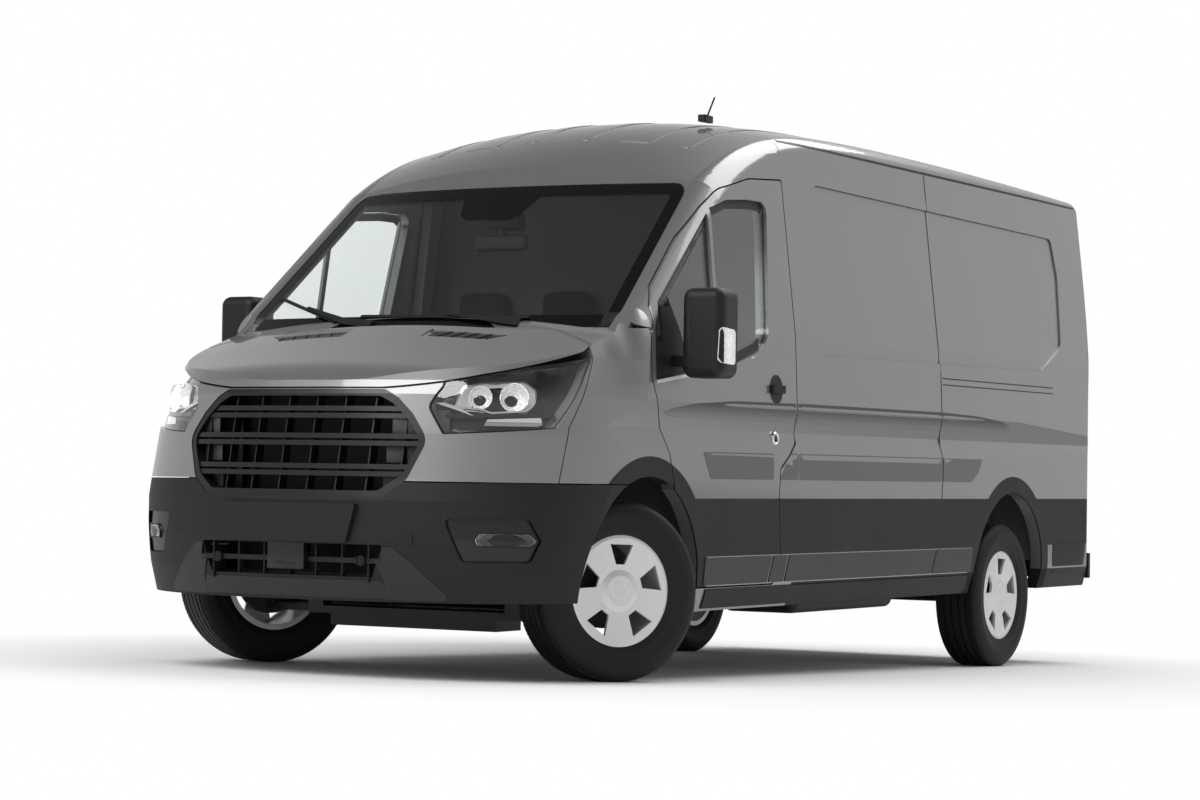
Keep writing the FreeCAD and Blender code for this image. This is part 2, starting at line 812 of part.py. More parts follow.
def screen_outline(shrink):
    """The windscreen from the front."""
    low, high = S.screen_bottom + shrink, S.screen_top - shrink
    wide, narrow = S.screen_bottom_half - shrink, S.screen_top_half - shrink
    radius = S.rear_corner_radius
    return [(-wide, low, radius), (wide, low, radius), (narrow, high, radius), (-narrow, high, radius)]


def screen_layer(depth):
    """Everything under the windscreen's surface at a depth."""
    return Part.makeLoft([canopy_section(station, 0, depth)
                          for station in SCREEN_STATION_SHARES], True, True)


SCREEN_REAR_Y = FRONT_Y + SCREEN_STATION_SHARES[1][0] * S.overall_length


def make_windscreen():
    """Laminated glass set just under the skin."""
    outer, inner = screen_layer(S.glass_setback), screen_layer(S.glass_setback + S.glass_thickness)
    glass = outer.cut(inner).common(plate("Y", FRONT_Y, SCREEN_REAR_Y, screen_outline(S.seat_gap)))
    add_piece("windscreen", glass, BODY_RAKE)


def screen_pillar(radius, longer=0):
    """Tube under the left windscreen pillar, outside the glass."""
    ends = []
    low, high = SCREEN_STATION_SHARES
    for share in (PILLAR_LOW_SHARE - longer, PILLAR_HIGH_SHARE + longer):
        half, edge, y = (first + (second - first) * share for first, second in (
            (low[1] * S.half_width, high[1] * S.half_width),
            (low[2] * S.roof_height, high[2] * S.roof_height),
            (FRONT_Y + low[0] * S.overall_length, FRONT_Y + high[0] * S.overall_length)))
        ends.append(V(half + S.pillar_out, y, edge - S.pillar_down))
    return rod(ends[0], ends[1], radius)


PILLAR_LOW_SHARE = 0.33
PILLAR_HIGH_SHARE = 0.985
PILLAR_SPARE_SHARE = 0.01


def cab_members():
    """Inner members of the left side: posts, pillar foot and sill."""
    post_outer = S.hollow_half - S.wall - S.shut_gap * 1.5
    post_inner = post_outer - S.post_width
    top = S.door_top + S.shut_gap * 2
    top_outer = side_x(top) - S.wall - S.shut_gap
    rear_post = plate("Y", S.pillar_y - S.post_depth, S.pillar_y - S.seat_gap, [
        (post_inner, S.sill_bottom + S.shut_gap, 0), (post_outer, S.sill_bottom + S.shut_gap, 0),
        (post_outer, S.belt_height, 0), (top_outer, top, 0),
        (top_outer + S.wall / 2, top + S.shut_gap, 0), (top_outer + S.wall / 2, top + S.wall, 0),
        (top_outer - S.post_width, top + S.wall, 0), (post_inner, S.belt_height, 0)])
    front_post = block(post_inner, post_outer, S.post_front_y, S.post_front_y + S.post_depth,
                       S.wheelhouse_top, S.scuttle_top)
    foot = block(post_inner, post_outer, S.door_front_y - S.pillar_foot_length,
                 S.post_front_y + S.post_depth, S.scuttle_bottom, S.screen_bottom + S.pillar_foot_rise)
    leaf = SHELL.common(plate("X", 0, OUT, door_outline(S.shut_gap)))
    foot = foot.cut(leaf).cut(shifted(leaf, V(-S.shut_gap * 1.5, 0, 0)))
    sill = block(post_inner, S.door_bottom_half - S.wall / 2, S.post_sill_y, S.pillar_y - S.seat_gap,
                 S.sill_bottom + S.shut_gap, S.door_bottom - S.shut_gap * 2)
    return [rear_post, front_post, foot, sill, screen_pillar(S.pillar_radius)]


def make_cab_frame():
    """Windscreen pillars, cant rails, door pillars, sills and the scuttle."""
    front = block(-OUT, OUT, FAR_FRONT, S.pillar_y - S.seat_gap, LOW, HIGH)
    frame = SHELL.common(front).cut(ROOF_REGION).cut(DOOR_OPENING)
    frame = frame.cut(plate("Y", FAR_FRONT, SCREEN_REAR_Y + S.cut_overrun, screen_outline(0)))
    nose_zone = plate("X", -OUT, OUT, [
        (FAR_FRONT, LOW, 0), (S.door_front_y, LOW, 0), (S.door_front_y, S.screen_bottom, 0),
        (S.door_front_y - S.pillar_foot_length, S.screen_bottom + S.pillar_foot_rise, 0),
        (FAR_FRONT, S.screen_bottom + S.pillar_foot_rise, 0)])
    frame = frame.cut(nose_zone).cut(FRONT_ARCH).cut(pillar_corner()).cut(WING_TAIL)
    frame = group(big_solids(frame))
    members = cab_members()
    post_outer = S.hollow_half - S.wall - S.shut_gap * 1.5
    scuttle = block(-post_outer, post_outer, S.scuttle_front_y, S.post_front_y + S.post_depth,
                    S.scuttle_bottom, S.scuttle_top)
    members += [mirrored(member) for member in members] + [scuttle]
    inner = members[0].fuse(members[1:]).common(OUTER).cut(
        plate("Y", FAR_FRONT, SCREEN_REAR_Y, screen_outline(0)).cut(
            block(-OUT, OUT, FAR_FRONT, FAR_REAR, LOW, S.screen_bottom + S.seat_gap)))
    wing_skin = NOSE_SHELL.cut(group([FOOT_ZONE, mirrored(FOOT_ZONE)]))
    add_piece("cab_frame", frame.fuse(group(big_solids(inner.cut(wing_skin)))), BODY_RAKE)


def make_roofs():
    """The pressed cab roof and the load roof, parted at the door pillar."""
    roof = SHELL.common(ROOF_REGION)
    half = S.panel_groove / 2
    header = SHELL.common(block(-S.rear_door_half, S.rear_door_half, S.rear_face_y - S.wall * 2,
                                FAR_REAR, S.rear_door_top + S.shut_gap, HIGH))
    front = roof.common(block(-OUT, OUT, FAR_FRONT, S.pillar_y - half, LOW, HIGH))
    rear = roof.common(block(-OUT, OUT, S.pillar_y + half, FAR_REAR, LOW, HIGH))
    add_piece("cab_roof", largest(front), BODY_RAKE)
    add_piece("load_roof", joined([largest(rear), largest(header)]), BODY_RAKE)


def recess(shape):
    """Presses the long shallow recess into the upper body side."""
    corners = within(RECESS_SHARES, S.recess_front_y, S.recess_rear_y, S.recess_bottom, S.recess_top)
    slot = plate("X", -OUT, OUT, corners)
    for side in (1, -1):
        moved = OUTER.copy()
        moved.translate(V(-side * S.recess_depth, 0, 0))
        half = block(*sorted((0, side * OUT)), FAR_FRONT, FAR_REAR, LOW, HIGH)
        shape = shape.cut(slot.common(half).cut(moved))
    return shape


def pillar_corner():
    """The lower door pillar that carries the filler flap, seen from the side."""
    low_y = S.door_front_y + DOOR_SHARES[3][0] * (S.pillar_y - S.shut_gap - S.door_front_y)
    tall = S.door_top - S.door_bottom
    corner_z = S.door_bottom + DOOR_SHARES[3][1] * tall
    top_z = S.door_bottom + DOOR_SHARES[4][1] * tall
    return plate("X", -OUT, OUT, [
        (low_y + S.shut_gap, S.door_bottom, 0), (low_y + S.shut_gap, corner_z - S.shut_gap, 0),
        (S.pillar_y, top_z - S.shut_gap, 0), (S.pillar_y + S.wall, top_z, 0),
        (S.pillar_y + S.wall, S.door_bottom, 0)]).cut(DOOR_OPENING)


def sliding_outline(grow):
    """The sliding door from the side."""
    radius = S.sliding_radius
    front, rear = S.pillar_y + S.shut_gap - grow, S.sliding_rear_y + grow
    low, high = S.sliding_bottom - grow, S.sliding_top + grow
    return plate("X", -OUT, 0, [(front, low, radius), (rear, low, radius),
                                (rear, high, radius), (front, high, radius)])


def rear_opening(grow, low, high):
    """The strip across the rear wall between the corner pillars."""
    half = S.rear_door_half + grow
    return block(-half, half, S.rear_face_y - S.wall * 2, FAR_REAR, low, high)


def make_sides():
    """Both body sides behind the front doors, and the sliding door on the right."""
    rear = block(-OUT, OUT, S.pillar_y, FAR_REAR, S.door_bottom, HIGH)
    sides = SHELL.common(rear).cut(ROOF_REGION)
    corner = SHELL.common(pillar_corner())
    sides = sides.fuse(corner).cut(rear_opening(S.shut_gap, LOW, HIGH))
    lamp = tail_lamp_zone(S.seat_gap)
    sides = recess(sides.cut(SIDE_COVER)).cut(REAR_ARCH).cut(lamp).cut(mirrored(lamp))
    left = sides.common(LEFT_HALF)
    line = block(0, OUT, S.sliding_rear_y, S.sliding_rear_y + S.panel_groove, S.door_bottom, HIGH)
    left = left.cut(line.cut(shifted(OUTER, V(-S.panel_groove, 0, 0))))
    right_half = sides.common(mirrored(LEFT_HALF))
    right = right_half.cut(sliding_outline(S.shut_gap))
    sliding = right_half.common(sliding_outline(0))
    add_piece("side_panel_left", largest(left), BODY_RAKE)
    add_piece("side_panel_right", group(big_solids(right)), BODY_RAKE)
    add_piece("sliding_door", largest(sliding), BODY_RAKE)


def tail_lamp_zone(grow):
    """Upright corner zone on the left rear pillar that the tail lamp fills."""
    return block(S.tail_lamp_x - grow, OUT, S.rear_face_y - S.tail_lamp_depth - grow, FAR_REAR,
                 S.tail_lamp_bottom - grow, S.tail_lamp_top + grow)


def big_solids(shape):
    """The solids of a cut that are more than crumbs."""
    most = max(solid.Volume for solid in shape.Solids)
    return [solid for solid in shape.Solids if solid.Volume > most * CRUMB_SHARE]


def shifted(shape, step):
    """A copy moved along a vector, with the move written into its shape."""
    moved = shape.copy()
    moved.translate(step)
    return moved


CRUMB_SHARE = 0.01


# Cladding, sills and doors

def make_side_cladding():
    """Moulded strips, rear arch bands and sill covers along the load space."""
    back = block(-OUT, OUT, S.pillar_y + S.seat_gap, S.rear_face_y, S.sill_bottom, HIGH)
    corner = pillar_corner()
    cover = SIDE_COVER.common(back.fuse(corner)).cut(REAR_ARCH).cut(rear_opening(S.shut_gap, LOW, HIGH))
    sills = SHELL.common(block(-OUT, OUT, S.pillar_y + S.seat_gap, S.rear_face_y, LOW,
                               S.door_bottom - S.seat_gap)).cut(REAR_ARCH)
    sills = sills.cut(rear_opening(0, LOW, HIGH))
    for label, side in (("side_cladding_left", 1), ("side_cladding_right", -1)):
        half = block(*sorted((0, side * OUT)), FAR_FRONT, FAR_REAR, LOW, HIGH)
        pieces = big_solids(cover.common(half)) + big_solids(sills.common(half))
        add_piece(label, group(pieces), BODY_RAKE)


def make_front_doors():
    """Hollow framed doors with glass, lower cladding, handle and mirror."""
    leaf_zone = plate("X", 0, OUT, door_outline(0))
    leaf = SHELL.common(leaf_zone).cut(plate("X", 0, OUT, window_outline(0))).cut(FRONT_ARCH)
    leaf = leaf.cut(SIDE_COVER).cut(block(0, OUT, FAR_FRONT, FAR_REAR, LOW, S.door_bottom))
    leaf = leaf.cut(screen_pillar(S.pillar_radius + S.shut_gap, PILLAR_SPARE_SHARE))
    sheet_out = shifted(OUTER, V(-S.door_glass_setback, 0, 0))
    sheet_in = shifted(OUTER, V(-S.door_glass_setback - S.door_glass_thickness, 0, 0))
    pane = sheet_out.cut(sheet_in).common(plate("X", S.window_inner_x, OUT, window_outline(S.seat_gap)))
    bar = leaf_bar(leaf_zone)
    leaf = joined([largest(leaf), bar])
    cover = SIDE_COVER.common(plate("X", 0, OUT, door_outline(0))).cut(FRONT_ARCH)
    handle = make_handle()
    mirror = make_mirror()
    for side_name, turn in (("left", lambda shape: shape), ("right", mirrored)):
        add_piece("front_door_" + side_name, turn(leaf), BODY_RAKE)
        add_piece("door_glass_" + side_name, turn(largest(pane)), BODY_RAKE)
        add_piece("door_cladding_" + side_name, turn(group([largest(cover), handle])), BODY_RAKE)
        add_piece("mirror_" + side_name, turn(mirror), BODY_RAKE)


def leaf_bar(leaf_zone):
    """Upright bar between the quarter light and the drop glass, outside the pane."""
    top_z = S.window_top
    width = S.quarter_bar_width
    top_y, low_y = S.quarter_bar_y, S.quarter_bar_y - width
    zone = plate("X", 0, OUT, [
        (low_y, S.window_low, 0), (low_y + width, S.window_low, 0),
        (top_y + width, top_z, 0), (top_y, top_z, 0)])
    layer = OUTER.cut(shifted(OUTER, V(-S.door_glass_setback + S.seat_gap, 0, 0)))
    return largest(layer.common(zone).common(leaf_zone))


def make_handle():
    """Pull handle on two feet."""
    half = S.handle_length / 2
    grip = plate("Z", S.handle_height - S.handle_width / 2, S.handle_height + S.handle_width / 2, [
        (S.handle_foot_x, S.handle_y - half, 0),
        (S.handle_foot_x + S.handle_stand, S.handle_y - half, S.handle_foot / 2),
        (S.handle_foot_x + S.handle_stand, S.handle_y + half, S.handle_foot / 2),
        (S.handle_foot_x, S.handle_y + half, 0),
        (S.handle_foot_x, S.handle_y + half - S.handle_foot, 0),
        (S.handle_foot_x + S.handle_foot, S.handle_y + half - S.handle_foot, 0),
        (S.handle_foot_x + S.handle_foot, S.handle_y - half + S.handle_foot, 0),
        (S.handle_foot_x, S.handle_y - half + S.handle_foot, 0)])
    return largest(grip.cut(OUTER))


def make_mirror():
    """Tall mirror head on one arm and a triangular base."""
    head = block(S.mirror_inner_x, S.mirror_outer_x, S.mirror_front_y, S.mirror_back_y,
                 S.mirror_bottom, S.mirror_top)
    front = [edge for edge in head.Edges if edge.BoundBox.YMax < S.mirror_front_y + S.seat_gap
             or edge.BoundBox.YLength > S.mirror_rounding]
    head = head.makeFillet(S.mirror_rounding, front)
    arm_z = S.mirror_bottom + S.mirror_arm_thickness
    arm = block(S.belt_half - S.shut_gap, S.mirror_inner_x + S.mirror_rounding,
                S.mirror_front_y, S.mirror_front_y + S.mirror_arm_thickness * 2,
                arm_z, arm_z + S.mirror_arm_thickness)
    return joined([head, arm.cut(OUTER)])


# Front end

def front_outline(shares, half, low, high, shrink):
    """A closed outline seen from the front, from half a table of shares."""
    right = within(shares, 0, half - shrink, low + shrink, high - shrink)
    return right[1:-1] + [(-x, z, radius) for x, z, radius in reversed(right[1:-1])]


def bonnet_zone(drop):
    """Everything above the line where the bonnet meets the lamps and wings."""
    low, high = S.bonnet_edge_height - drop, S.screen_bottom - drop
    line = within(BONNET_LINE_SHARES, FRONT_Y, S.bonnet_rear_y, low, high)
    return plate("X", -OUT, OUT, line + [(line[-1][0], HIGH, 0), (FAR_FRONT, HIGH, 0)])


def bonnet_plan():
    """The bonnet from above: its rear edge bows forward in the middle."""
    rear, middle = S.bonnet_rear_y, S.screen_base_y
    half = S.screen_bottom_half
    return plate("Z", LOW, HIGH, [
        (-OUT, FAR_FRONT, 0), (OUT, FAR_FRONT, 0), (OUT, rear, 0), (half, rear, S.wall),
        (half / 2, middle, half / 2), (-half / 2, middle, half / 2), (-half, rear, S.wall),
        (-OUT, rear, 0)])


def lamp_zone(grow):
    """The head lamp's outline on the left: from the side, and its inner end from the front."""
    side = within(LAMP_SIDE_SHARES, FRONT_Y - grow, S.lamp_rear_y + grow, S.lamp_bottom - grow,
                  S.lamp_top + grow)
    half = plate("X", 0, OUT, side)
    inner = plate("Y", FAR_FRONT, S.door_front_y, [
        (S.lamp_inner_x - grow, S.bonnet_edge_height + grow, 0),
        (S.lamp_inner_x - S.lamp_nose - grow, S.lamp_middle, S.lamp_nose),
        (S.lamp_inner_x + S.lamp_nose - grow, S.lamp_bottom - grow, S.lamp_nose),
        (OUT, S.lamp_bottom - grow, 0), (OUT, HIGH, 0), (S.lamp_inner_x - grow, HIGH, 0)])
    return half.common(inner)


GRILLE_OPENING = plate("Y", FAR_FRONT, S.door_front_y, front_outline(
    GRILLE_SHARES, S.grille_half, S.grille_bottom, S.grille_top, 0))
BONNET_CUT = bonnet_zone(S.shut_gap)
WING_LINE = [(S.wing_low_y, S.bumper_top - S.cut_overrun, 0), (S.wing_low_y, S.bumper_top, 0),
             (S.wing_mid_y, S.lamp_bottom_rear, 0), (S.lamp_rear_y, S.lamp_top, 0),
             (S.lamp_rear_y, HIGH, 0)]


def wing_zone(step):
    """Everything behind the wing's front edge."""
    line = [(point[0] + step, point[1], 0) for point in WING_LINE]
    return plate("X", -OUT, OUT, line + [(WING_JOINT_Y, HIGH, 0),
                                         (WING_JOINT_Y, S.bumper_top - S.cut_overrun, 0)])


def make_nose():
    """Bonnet, wings, front panel, bumper, lamps, grille and arch bands."""
    bonnet = NOSE_SHELL.common(bonnet_zone(0)).common(bonnet_plan())
    vents = bonnet_vents()
    add_piece("bonnet", largest(bonnet.cut(vents)), BODY_RAKE)

    shell = NOSE_SHELL.cut(BONNET_CUT).cut(FRONT_ARCH).cut(DOOR_OPENING)
    above = block(-OUT, OUT, FAR_FRONT, S.door_front_y, S.bumper_top, HIGH)
    bands = shell.common(FRONT_BAND).common(above)
    bands = bands.cut(block(-OUT, OUT, WING_JOINT_Y, FAR_REAR, LOW, HIGH))
    wings = shell.common(above).common(wing_zone(S.panel_groove)).cut(FRONT_BAND)
    tail = SHELL.common(WING_TAIL).common(LEFT_HALF).cut(DOOR_OPENING).cut(FRONT_ARCH)
    behind_glass = screen_layer(S.glass_setback - S.seat_gap).common(
        plate("Y", FRONT_Y, SCREEN_REAR_Y, screen_outline(0)))
    wings = wings.common(LEFT_HALF).cut(FOOT_ZONE).cut(behind_glass)
    wing = largest(wings.fuse(largest(tail.cut(FRONT_BAND))))
    add_piece("front_wings", group([wing, mirrored(wing)]), BODY_RAKE)
    band = largest(bands.common(LEFT_HALF).fuse(tail.common(FRONT_BAND)))
    add_piece("arch_bands", group([band, mirrored(band)]), BODY_RAKE)

    lamp_hole = lamp_zone(S.panel_groove)
    panel = shell.common(above).cut(wing_zone(0)).cut(FRONT_BAND).cut(lamp_hole).cut(mirrored(lamp_hole))
    add_piece("front_panel", largest(panel.cut(GRILLE_OPENING)), BODY_RAKE)

    step = S.lamp_setback
    front = shifted(NOSE, V(-step, step, -step)).common(lamp_zone(0))
    lamp = front.cut(shifted(NOSE, V(-S.lamp_depth, S.lamp_depth, -S.lamp_depth / 2)))
    lamp = largest(lamp.cut(BONNET_CUT))
    add_piece("headlamps", group([lamp, mirrored(lamp)]), BODY_RAKE)
    make_bumper(shell)
    make_grille()


def bonnet_vents():
    """Two shallow air intakes pressed into the bonnet near the windscreen."""
    low, high = S.vent_inner_x, S.vent_outer_x
    vent = plate("Z", LOW, HIGH, [
        (low, S.vent_rear_y, 0), (high, S.vent_rear_y, 0),
        (high - S.vent_length, S.vent_front_y, 0), (low, S.vent_front_y, 0)])
    vent = vent.cut(shifted(NOSE, V(0, 0, -S.recess_depth)))
    return group([vent, mirrored(vent)])


def make_bumper(shell):
    """One-piece bumper with plate plinth, lower intake, lamp pockets and towing socket."""
    zone = block(-OUT, OUT, FAR_FRONT, FRONT_ARCH_Y, S.bumper_bottom, S.bumper_top - S.panel_groove)
    bumper = shell.common(zone)
    intake = plate("Y", FAR_FRONT, S.door_front_y, [
        (-S.intake_half, S.intake_top, S.plinth_depth), (S.intake_half, S.intake_top, S.plinth_depth),
        (S.intake_half * INTAKE_FOOT_SHARE, S.intake_bottom, S.plinth_depth),
        (-S.intake_half * INTAKE_FOOT_SHARE, S.intake_bottom, S.plinth_depth)])
    plinth = plate("Y", FRONT_Y, FRONT_Y + S.nose_wall, [
        (-S.plinth_half, S.plinth_top, S.plinth_depth), (S.plinth_half, S.plinth_top, S.plinth_depth),
        (S.plinth_half * PLINTH_FOOT_SHARE, S.plinth_bottom, S.plinth_depth),
        (-S.plinth_half * PLINTH_FOOT_SHARE, S.plinth_bottom, S.plinth_depth)])
    bumper = bumper.cut(GRILLE_OPENING).cut(intake)
    pocket = fog_zone(0)
    bumper = bumper.cut(pocket).cut(mirrored(pocket))
    solids = [largest(bumper), plinth, intake_bar()]
    whole = joined(solids)
    boss_y = socket_front()
    boss = rod(V(S.towing_eye_x, boss_y, S.towing_eye_height),
               V(S.towing_eye_x, boss_y + S.towing_boss_length, S.towing_eye_height), S.towing_boss_radius)
    bore = rod(V(S.towing_eye_x, FAR_FRONT, S.towing_eye_height),
               V(S.towing_eye_x, S.door_front_y, S.towing_eye_height), S.towing_eye_radius)
    whole = joined([whole, boss]).cut(bore)
    add_piece("front_bumper", largest(whole), BODY_RAKE)
    front = shifted(NOSE, V(-S.fog_setback / 2, S.fog_setback, 0)).common(fog_zone(S.seat_gap))
    fog = largest(front.cut(shifted(NOSE, V(-S.nose_wall / 2, S.nose_wall, 0))))
    add_piece("fog_lamps", group([fog, mirrored(fog)]), BODY_RAKE)


def socket_front():
    """Where the towing socket's boss starts, just behind the bumper's skin."""
    return FRONT_Y + S.front_overhang * SOCKET_SETBACK_SHARE


def intake_bar():
    """Bar across the lower intake, with ribs behind it."""
    y = FRONT_Y + S.nose_wall
    middle = (S.intake_top + S.intake_bottom) / 2
    half_bar = S.bar_height / 2
    bar = block(-S.intake_half, S.intake_half, y, y + S.bar_depth, middle - half_bar, middle + half_bar)
    pieces = [bar]
    count = int(S.intake_ribs)
    for index in range(count):
        x = -S.intake_half * RIB_SPAN_SHARE + 2 * S.intake_half * RIB_SPAN_SHARE * index / (count - 1)
        pieces.append(block(x - S.rib_width / 2, x + S.rib_width / 2, y, y + S.bar_depth,
                            S.intake_bottom - S.nose_wall / 2, S.intake_top + S.nose_wall / 2))
    return joined(pieces)


def fog_zone(shrink):
    """Six-sided lamp pocket at the bumper's corner, seen from the front."""
    low, high = S.fog_bottom + shrink, S.fog_top - shrink
    inner, outer = S.fog_inner_x + shrink, S.fog_outer_x - shrink
    middle = (low + high) / 2
    slant = S.fog_slant
    return plate("Y", FAR_FRONT, FRONT_ARCH_Y, [
        (inner, high, slant / 4), (outer - slant / 2, high, slant / 4), (outer, middle, slant / 4),
        (outer - slant / 2, low, slant / 4), (inner + slant, low, slant / 4)])


def behind(shape, near, far):
    """The part of a shape that lies between two depths behind the front face."""
    return shape.common(shifted(LEVELS, V(0, near, 0))).cut(shifted(LEVELS, V(0, far, 0)))


def make_grille():
    """Rim, double bars and upright ribs in one moulding, and the radiator behind."""
    outline_out = plate("Y", FAR_FRONT, S.door_front_y, front_outline(
        GRILLE_SHARES, S.grille_half, S.grille_bottom, S.grille_top, S.seat_gap))
    outline_in = plate("Y", FAR_FRONT, S.door_front_y, front_outline(
        GRILLE_SHARES, S.grille_half, S.grille_bottom, S.grille_top, S.grille_rim))
    rim = behind(outline_out.cut(outline_in), S.glass_setback, S.grille_depth)
    bar_layer = behind(outline_out, S.bar_setback, S.bar_setback + S.bar_depth)
    rib_layer = behind(outline_out, S.bar_setback + S.bar_depth / 2, S.grille_depth)
    pieces = [largest(rim)]
    tall = S.grille_top - S.grille_bottom
    for share in BAR_HEIGHT_SHARES:
        for offset in (-1, 1):
            middle = S.grille_bottom + share * tall + offset * S.bar_height * BAR_PAIR_SHARE
            slat = block(-S.grille_half, S.grille_half, FAR_FRONT, S.door_front_y,
                         middle - S.bar_height / 2, middle + S.bar_height / 2)
            pieces.append(largest(bar_layer.common(slat)))
    count = int(S.grille_ribs)
    for index in range(count):
        x = S.grille_half * GRILLE_RIB_SPAN_SHARE * (2 * index / (count - 1) - 1)
        slat = block(x - S.rib_width / 2, x + S.rib_width / 2, FAR_FRONT, S.door_front_y, LOW, HIGH)
        pieces.append(largest(rib_layer.common(slat)))
    add_piece("grille", joined(pieces), BODY_RAKE)


INTAKE_FOOT_SHARE = 0.89
PLINTH_FOOT_SHARE = 0.87
SOCKET_SETBACK_SHARE = 0.07
RIB_SPAN_SHARE = 0.86
GRILLE_RIB_SPAN_SHARE = 0.82
BAR_HEIGHT_SHARES = (0.262, 0.536, 0.783)
BAR_PAIR_SHARE = 0.72
FOOT_ZONE = block(0, OUT, S.door_front_y - S.pillar_foot_length - S.shut_gap,
                  S.door_front_y, S.screen_bottom, HIGH)



# Pieces bound to the sheet cell by cell

def terms(size):
    """A size as (factor, name) pairs; a bare name counts once."""
    return [(1, size)] if isinstance(size, str) else list(size)


def plus(first, second, factor=1):
    """One size with a multiple of another added."""
    return terms(first) + [(share * factor, name) for share, name in terms(second)]


def minus(size):
    """A size with its sign turned."""
    return plus([], size, -1)


def number(size):
    """The present value of a size."""
    return sum(factor * float(sheet.get(name)) for factor, name in terms(size))


def bind(item, prop, size, turn=1):
    """Ties a property to cells of the sheet; an empty size leaves it at zero."""
    if not terms(size):
        return
    item.setExpression(prop, " + ".join("%r * Sizes.%s" % (factor * turn, name)
                                        for factor, name in terms(size)))


def bound_box(name, x_span, y_span, z_span):
    """Box whose six faces lie at named places."""
    item = doc.addObject("Part::Box", name)
    for axis, side, span in zip("xyz", ("Length", "Width", "Height"), (x_span, y_span, z_span)):
        bind(item, "Placement.Base." + axis, span[0])
        bind(item, side, plus(span[1], span[0], -1))
    return item


def bound_rod(name, axis, place, length, radius):
    """Round bar that starts at a place and runs along an axis."""
    item = doc.addObject("Part::Cylinder", name)
    item.Placement.Rotation = FreeCAD.Rotation(Z_AXIS, axis)
    for letter, size in zip("xyz", place):
        if size:
            bind(item, "Placement.Base." + letter, size)
    bind(item, "Height", length)
    bind(item, "Radius", radius)
    return item


def flipped(span, side):
    """A span across the van, on the left as given or mirrored to the right."""
    return span if side > 0 else (minus(span[1]), minus(span[0]))


def keep(item, label, place):
    """Names a finished object as a sub-part and places it."""
    item.Label = label
    item.Placement = place
    PIECES.append(item)


def fused(label, items, place):
    """One sub-part from bound solids that overlap."""
    item = doc.addObject("Part::MultiFuse", label)
    item.Shapes = items
    keep(item, label, place)
    return item


def bound_sketch(body, name, plane_role, corners):
    """Closed outline in one of the body's planes, with every corner tied to the sheet."""
    sketch = body.newObject("Sketcher::SketchObject", name)
    plane = [item for item in body.Origin.OriginFeatures if item.Role == plane_role][0]
    sketch.AttachmentSupport = [(plane, "")]
    sketch.MapMode = "FlatFace"
    places = [V(number(first), number(second), 0) for first, second in corners]
    count = len(places)
    for index in range(count):
        sketch.addGeometry(Part.LineSegment(places[index], places[(index + 1) % count]), False)
    for index in range(count):
        sketch.addConstraint(Sketcher.Constraint("Coincident", index, 2, (index + 1) % count, 1))
    for index, sizes in enumerate(corners):
        for kind, axis_line, size in (("DistanceX", -2, sizes[0]), ("DistanceY", -1, sizes[1])):
            value = number(size)
            if not terms(size):
                sketch.addConstraint(Sketcher.Constraint("PointOnObject", index, 1, axis_line))
            elif value > 0:
                row = sketch.addConstraint(Sketcher.Constraint(kind, -1, 1, index, 1, value))
                bind(sketch, "Constraints[%d]" % row, size)
            else:
                row = sketch.addConstraint(Sketcher.Constraint(kind, index, 1, -1, 1, -value))
                bind(sketch, "Constraints[%d]" % row, size, -1)
    return sketch


def pad(body, sketch, low, high):
    """Solid from an outline between two levels along its normal."""
    bind(sketch, "AttachmentOffset.Base.z", low)
    feature = body.newObject("PartDesign::Pad", sketch.Name + "_pad")
    feature.Profile = sketch
    bind(feature, "Length", plus(high, low, -1))
    return feature


def padded_body(label, plane_role, corners, low, high):
    """A body that is one outline pushed along an axis."""
    body = doc.addObject("PartDesign::Body", label)
    sketch = bound_sketch(body, label + "_outline", plane_role, corners)
    pad(body, sketch, low, high)
    return body


def rounded(body, radius, choose):
    """Rounds those edges of a body that a test picks out."""
    doc.recompute()
    feature = body.newObject("PartDesign::Fillet", body.Name + "_rounding")
    base = body.Tip if body.Tip != feature else body.Group[-2]
    names = ["Edge%d" % (index + 1) for index, edge in enumerate(base.Shape.Edges) if choose(edge)]
    feature.Base = (base, names)
    bind(feature, "Radius", radius)


def turned_body(label, corners, place):
    """A sub-part turned from an outline about its own X axis."""
    body = doc.addObject("PartDesign::Body", label)
    sketch = bound_sketch(body, label + "_outline", "XY_Plane", corners)
    feature = body.newObject("PartDesign::Revolution", label + "_turn")
    feature.Profile = sketch
    feature.ReferenceAxis = (sketch, ["H_Axis"])
    feature.Angle = 360
    keep(body, label, place)
    return body


# Wheels

def wheel_place(side, front):
    """Where a wheel's centre sits: rear wheels straight, front wheels turned about their kingpins."""
    turn = FreeCAD.Rotation(Z_AXIS, 0 if side > 0 else 180)
    y = FRONT_AXLE_Y if front else REAR_AXLE_Y
    place = FreeCAD.Placement(V(side * S.track_half, y, S.tyre_radius), turn)
    return steered(side).multiply(place) if front else shift().multiply(place)


def shift():
    """Moves the whole van so that its box is centred."""
    return FreeCAD.Placement(V(0, S.frame_shift, 0), FreeCAD.Rotation())


def steered(side):
    """The turn of a front wheel about its upright kingpin at rest."""
    turn = FreeCAD.Placement(V(0, 0, 0), FreeCAD.Rotation(Z_AXIS, S.rest_steer_angle),
                             V(side * S.kingpin_x, FRONT_AXLE_Y, 0))
    return shift().multiply(turn)


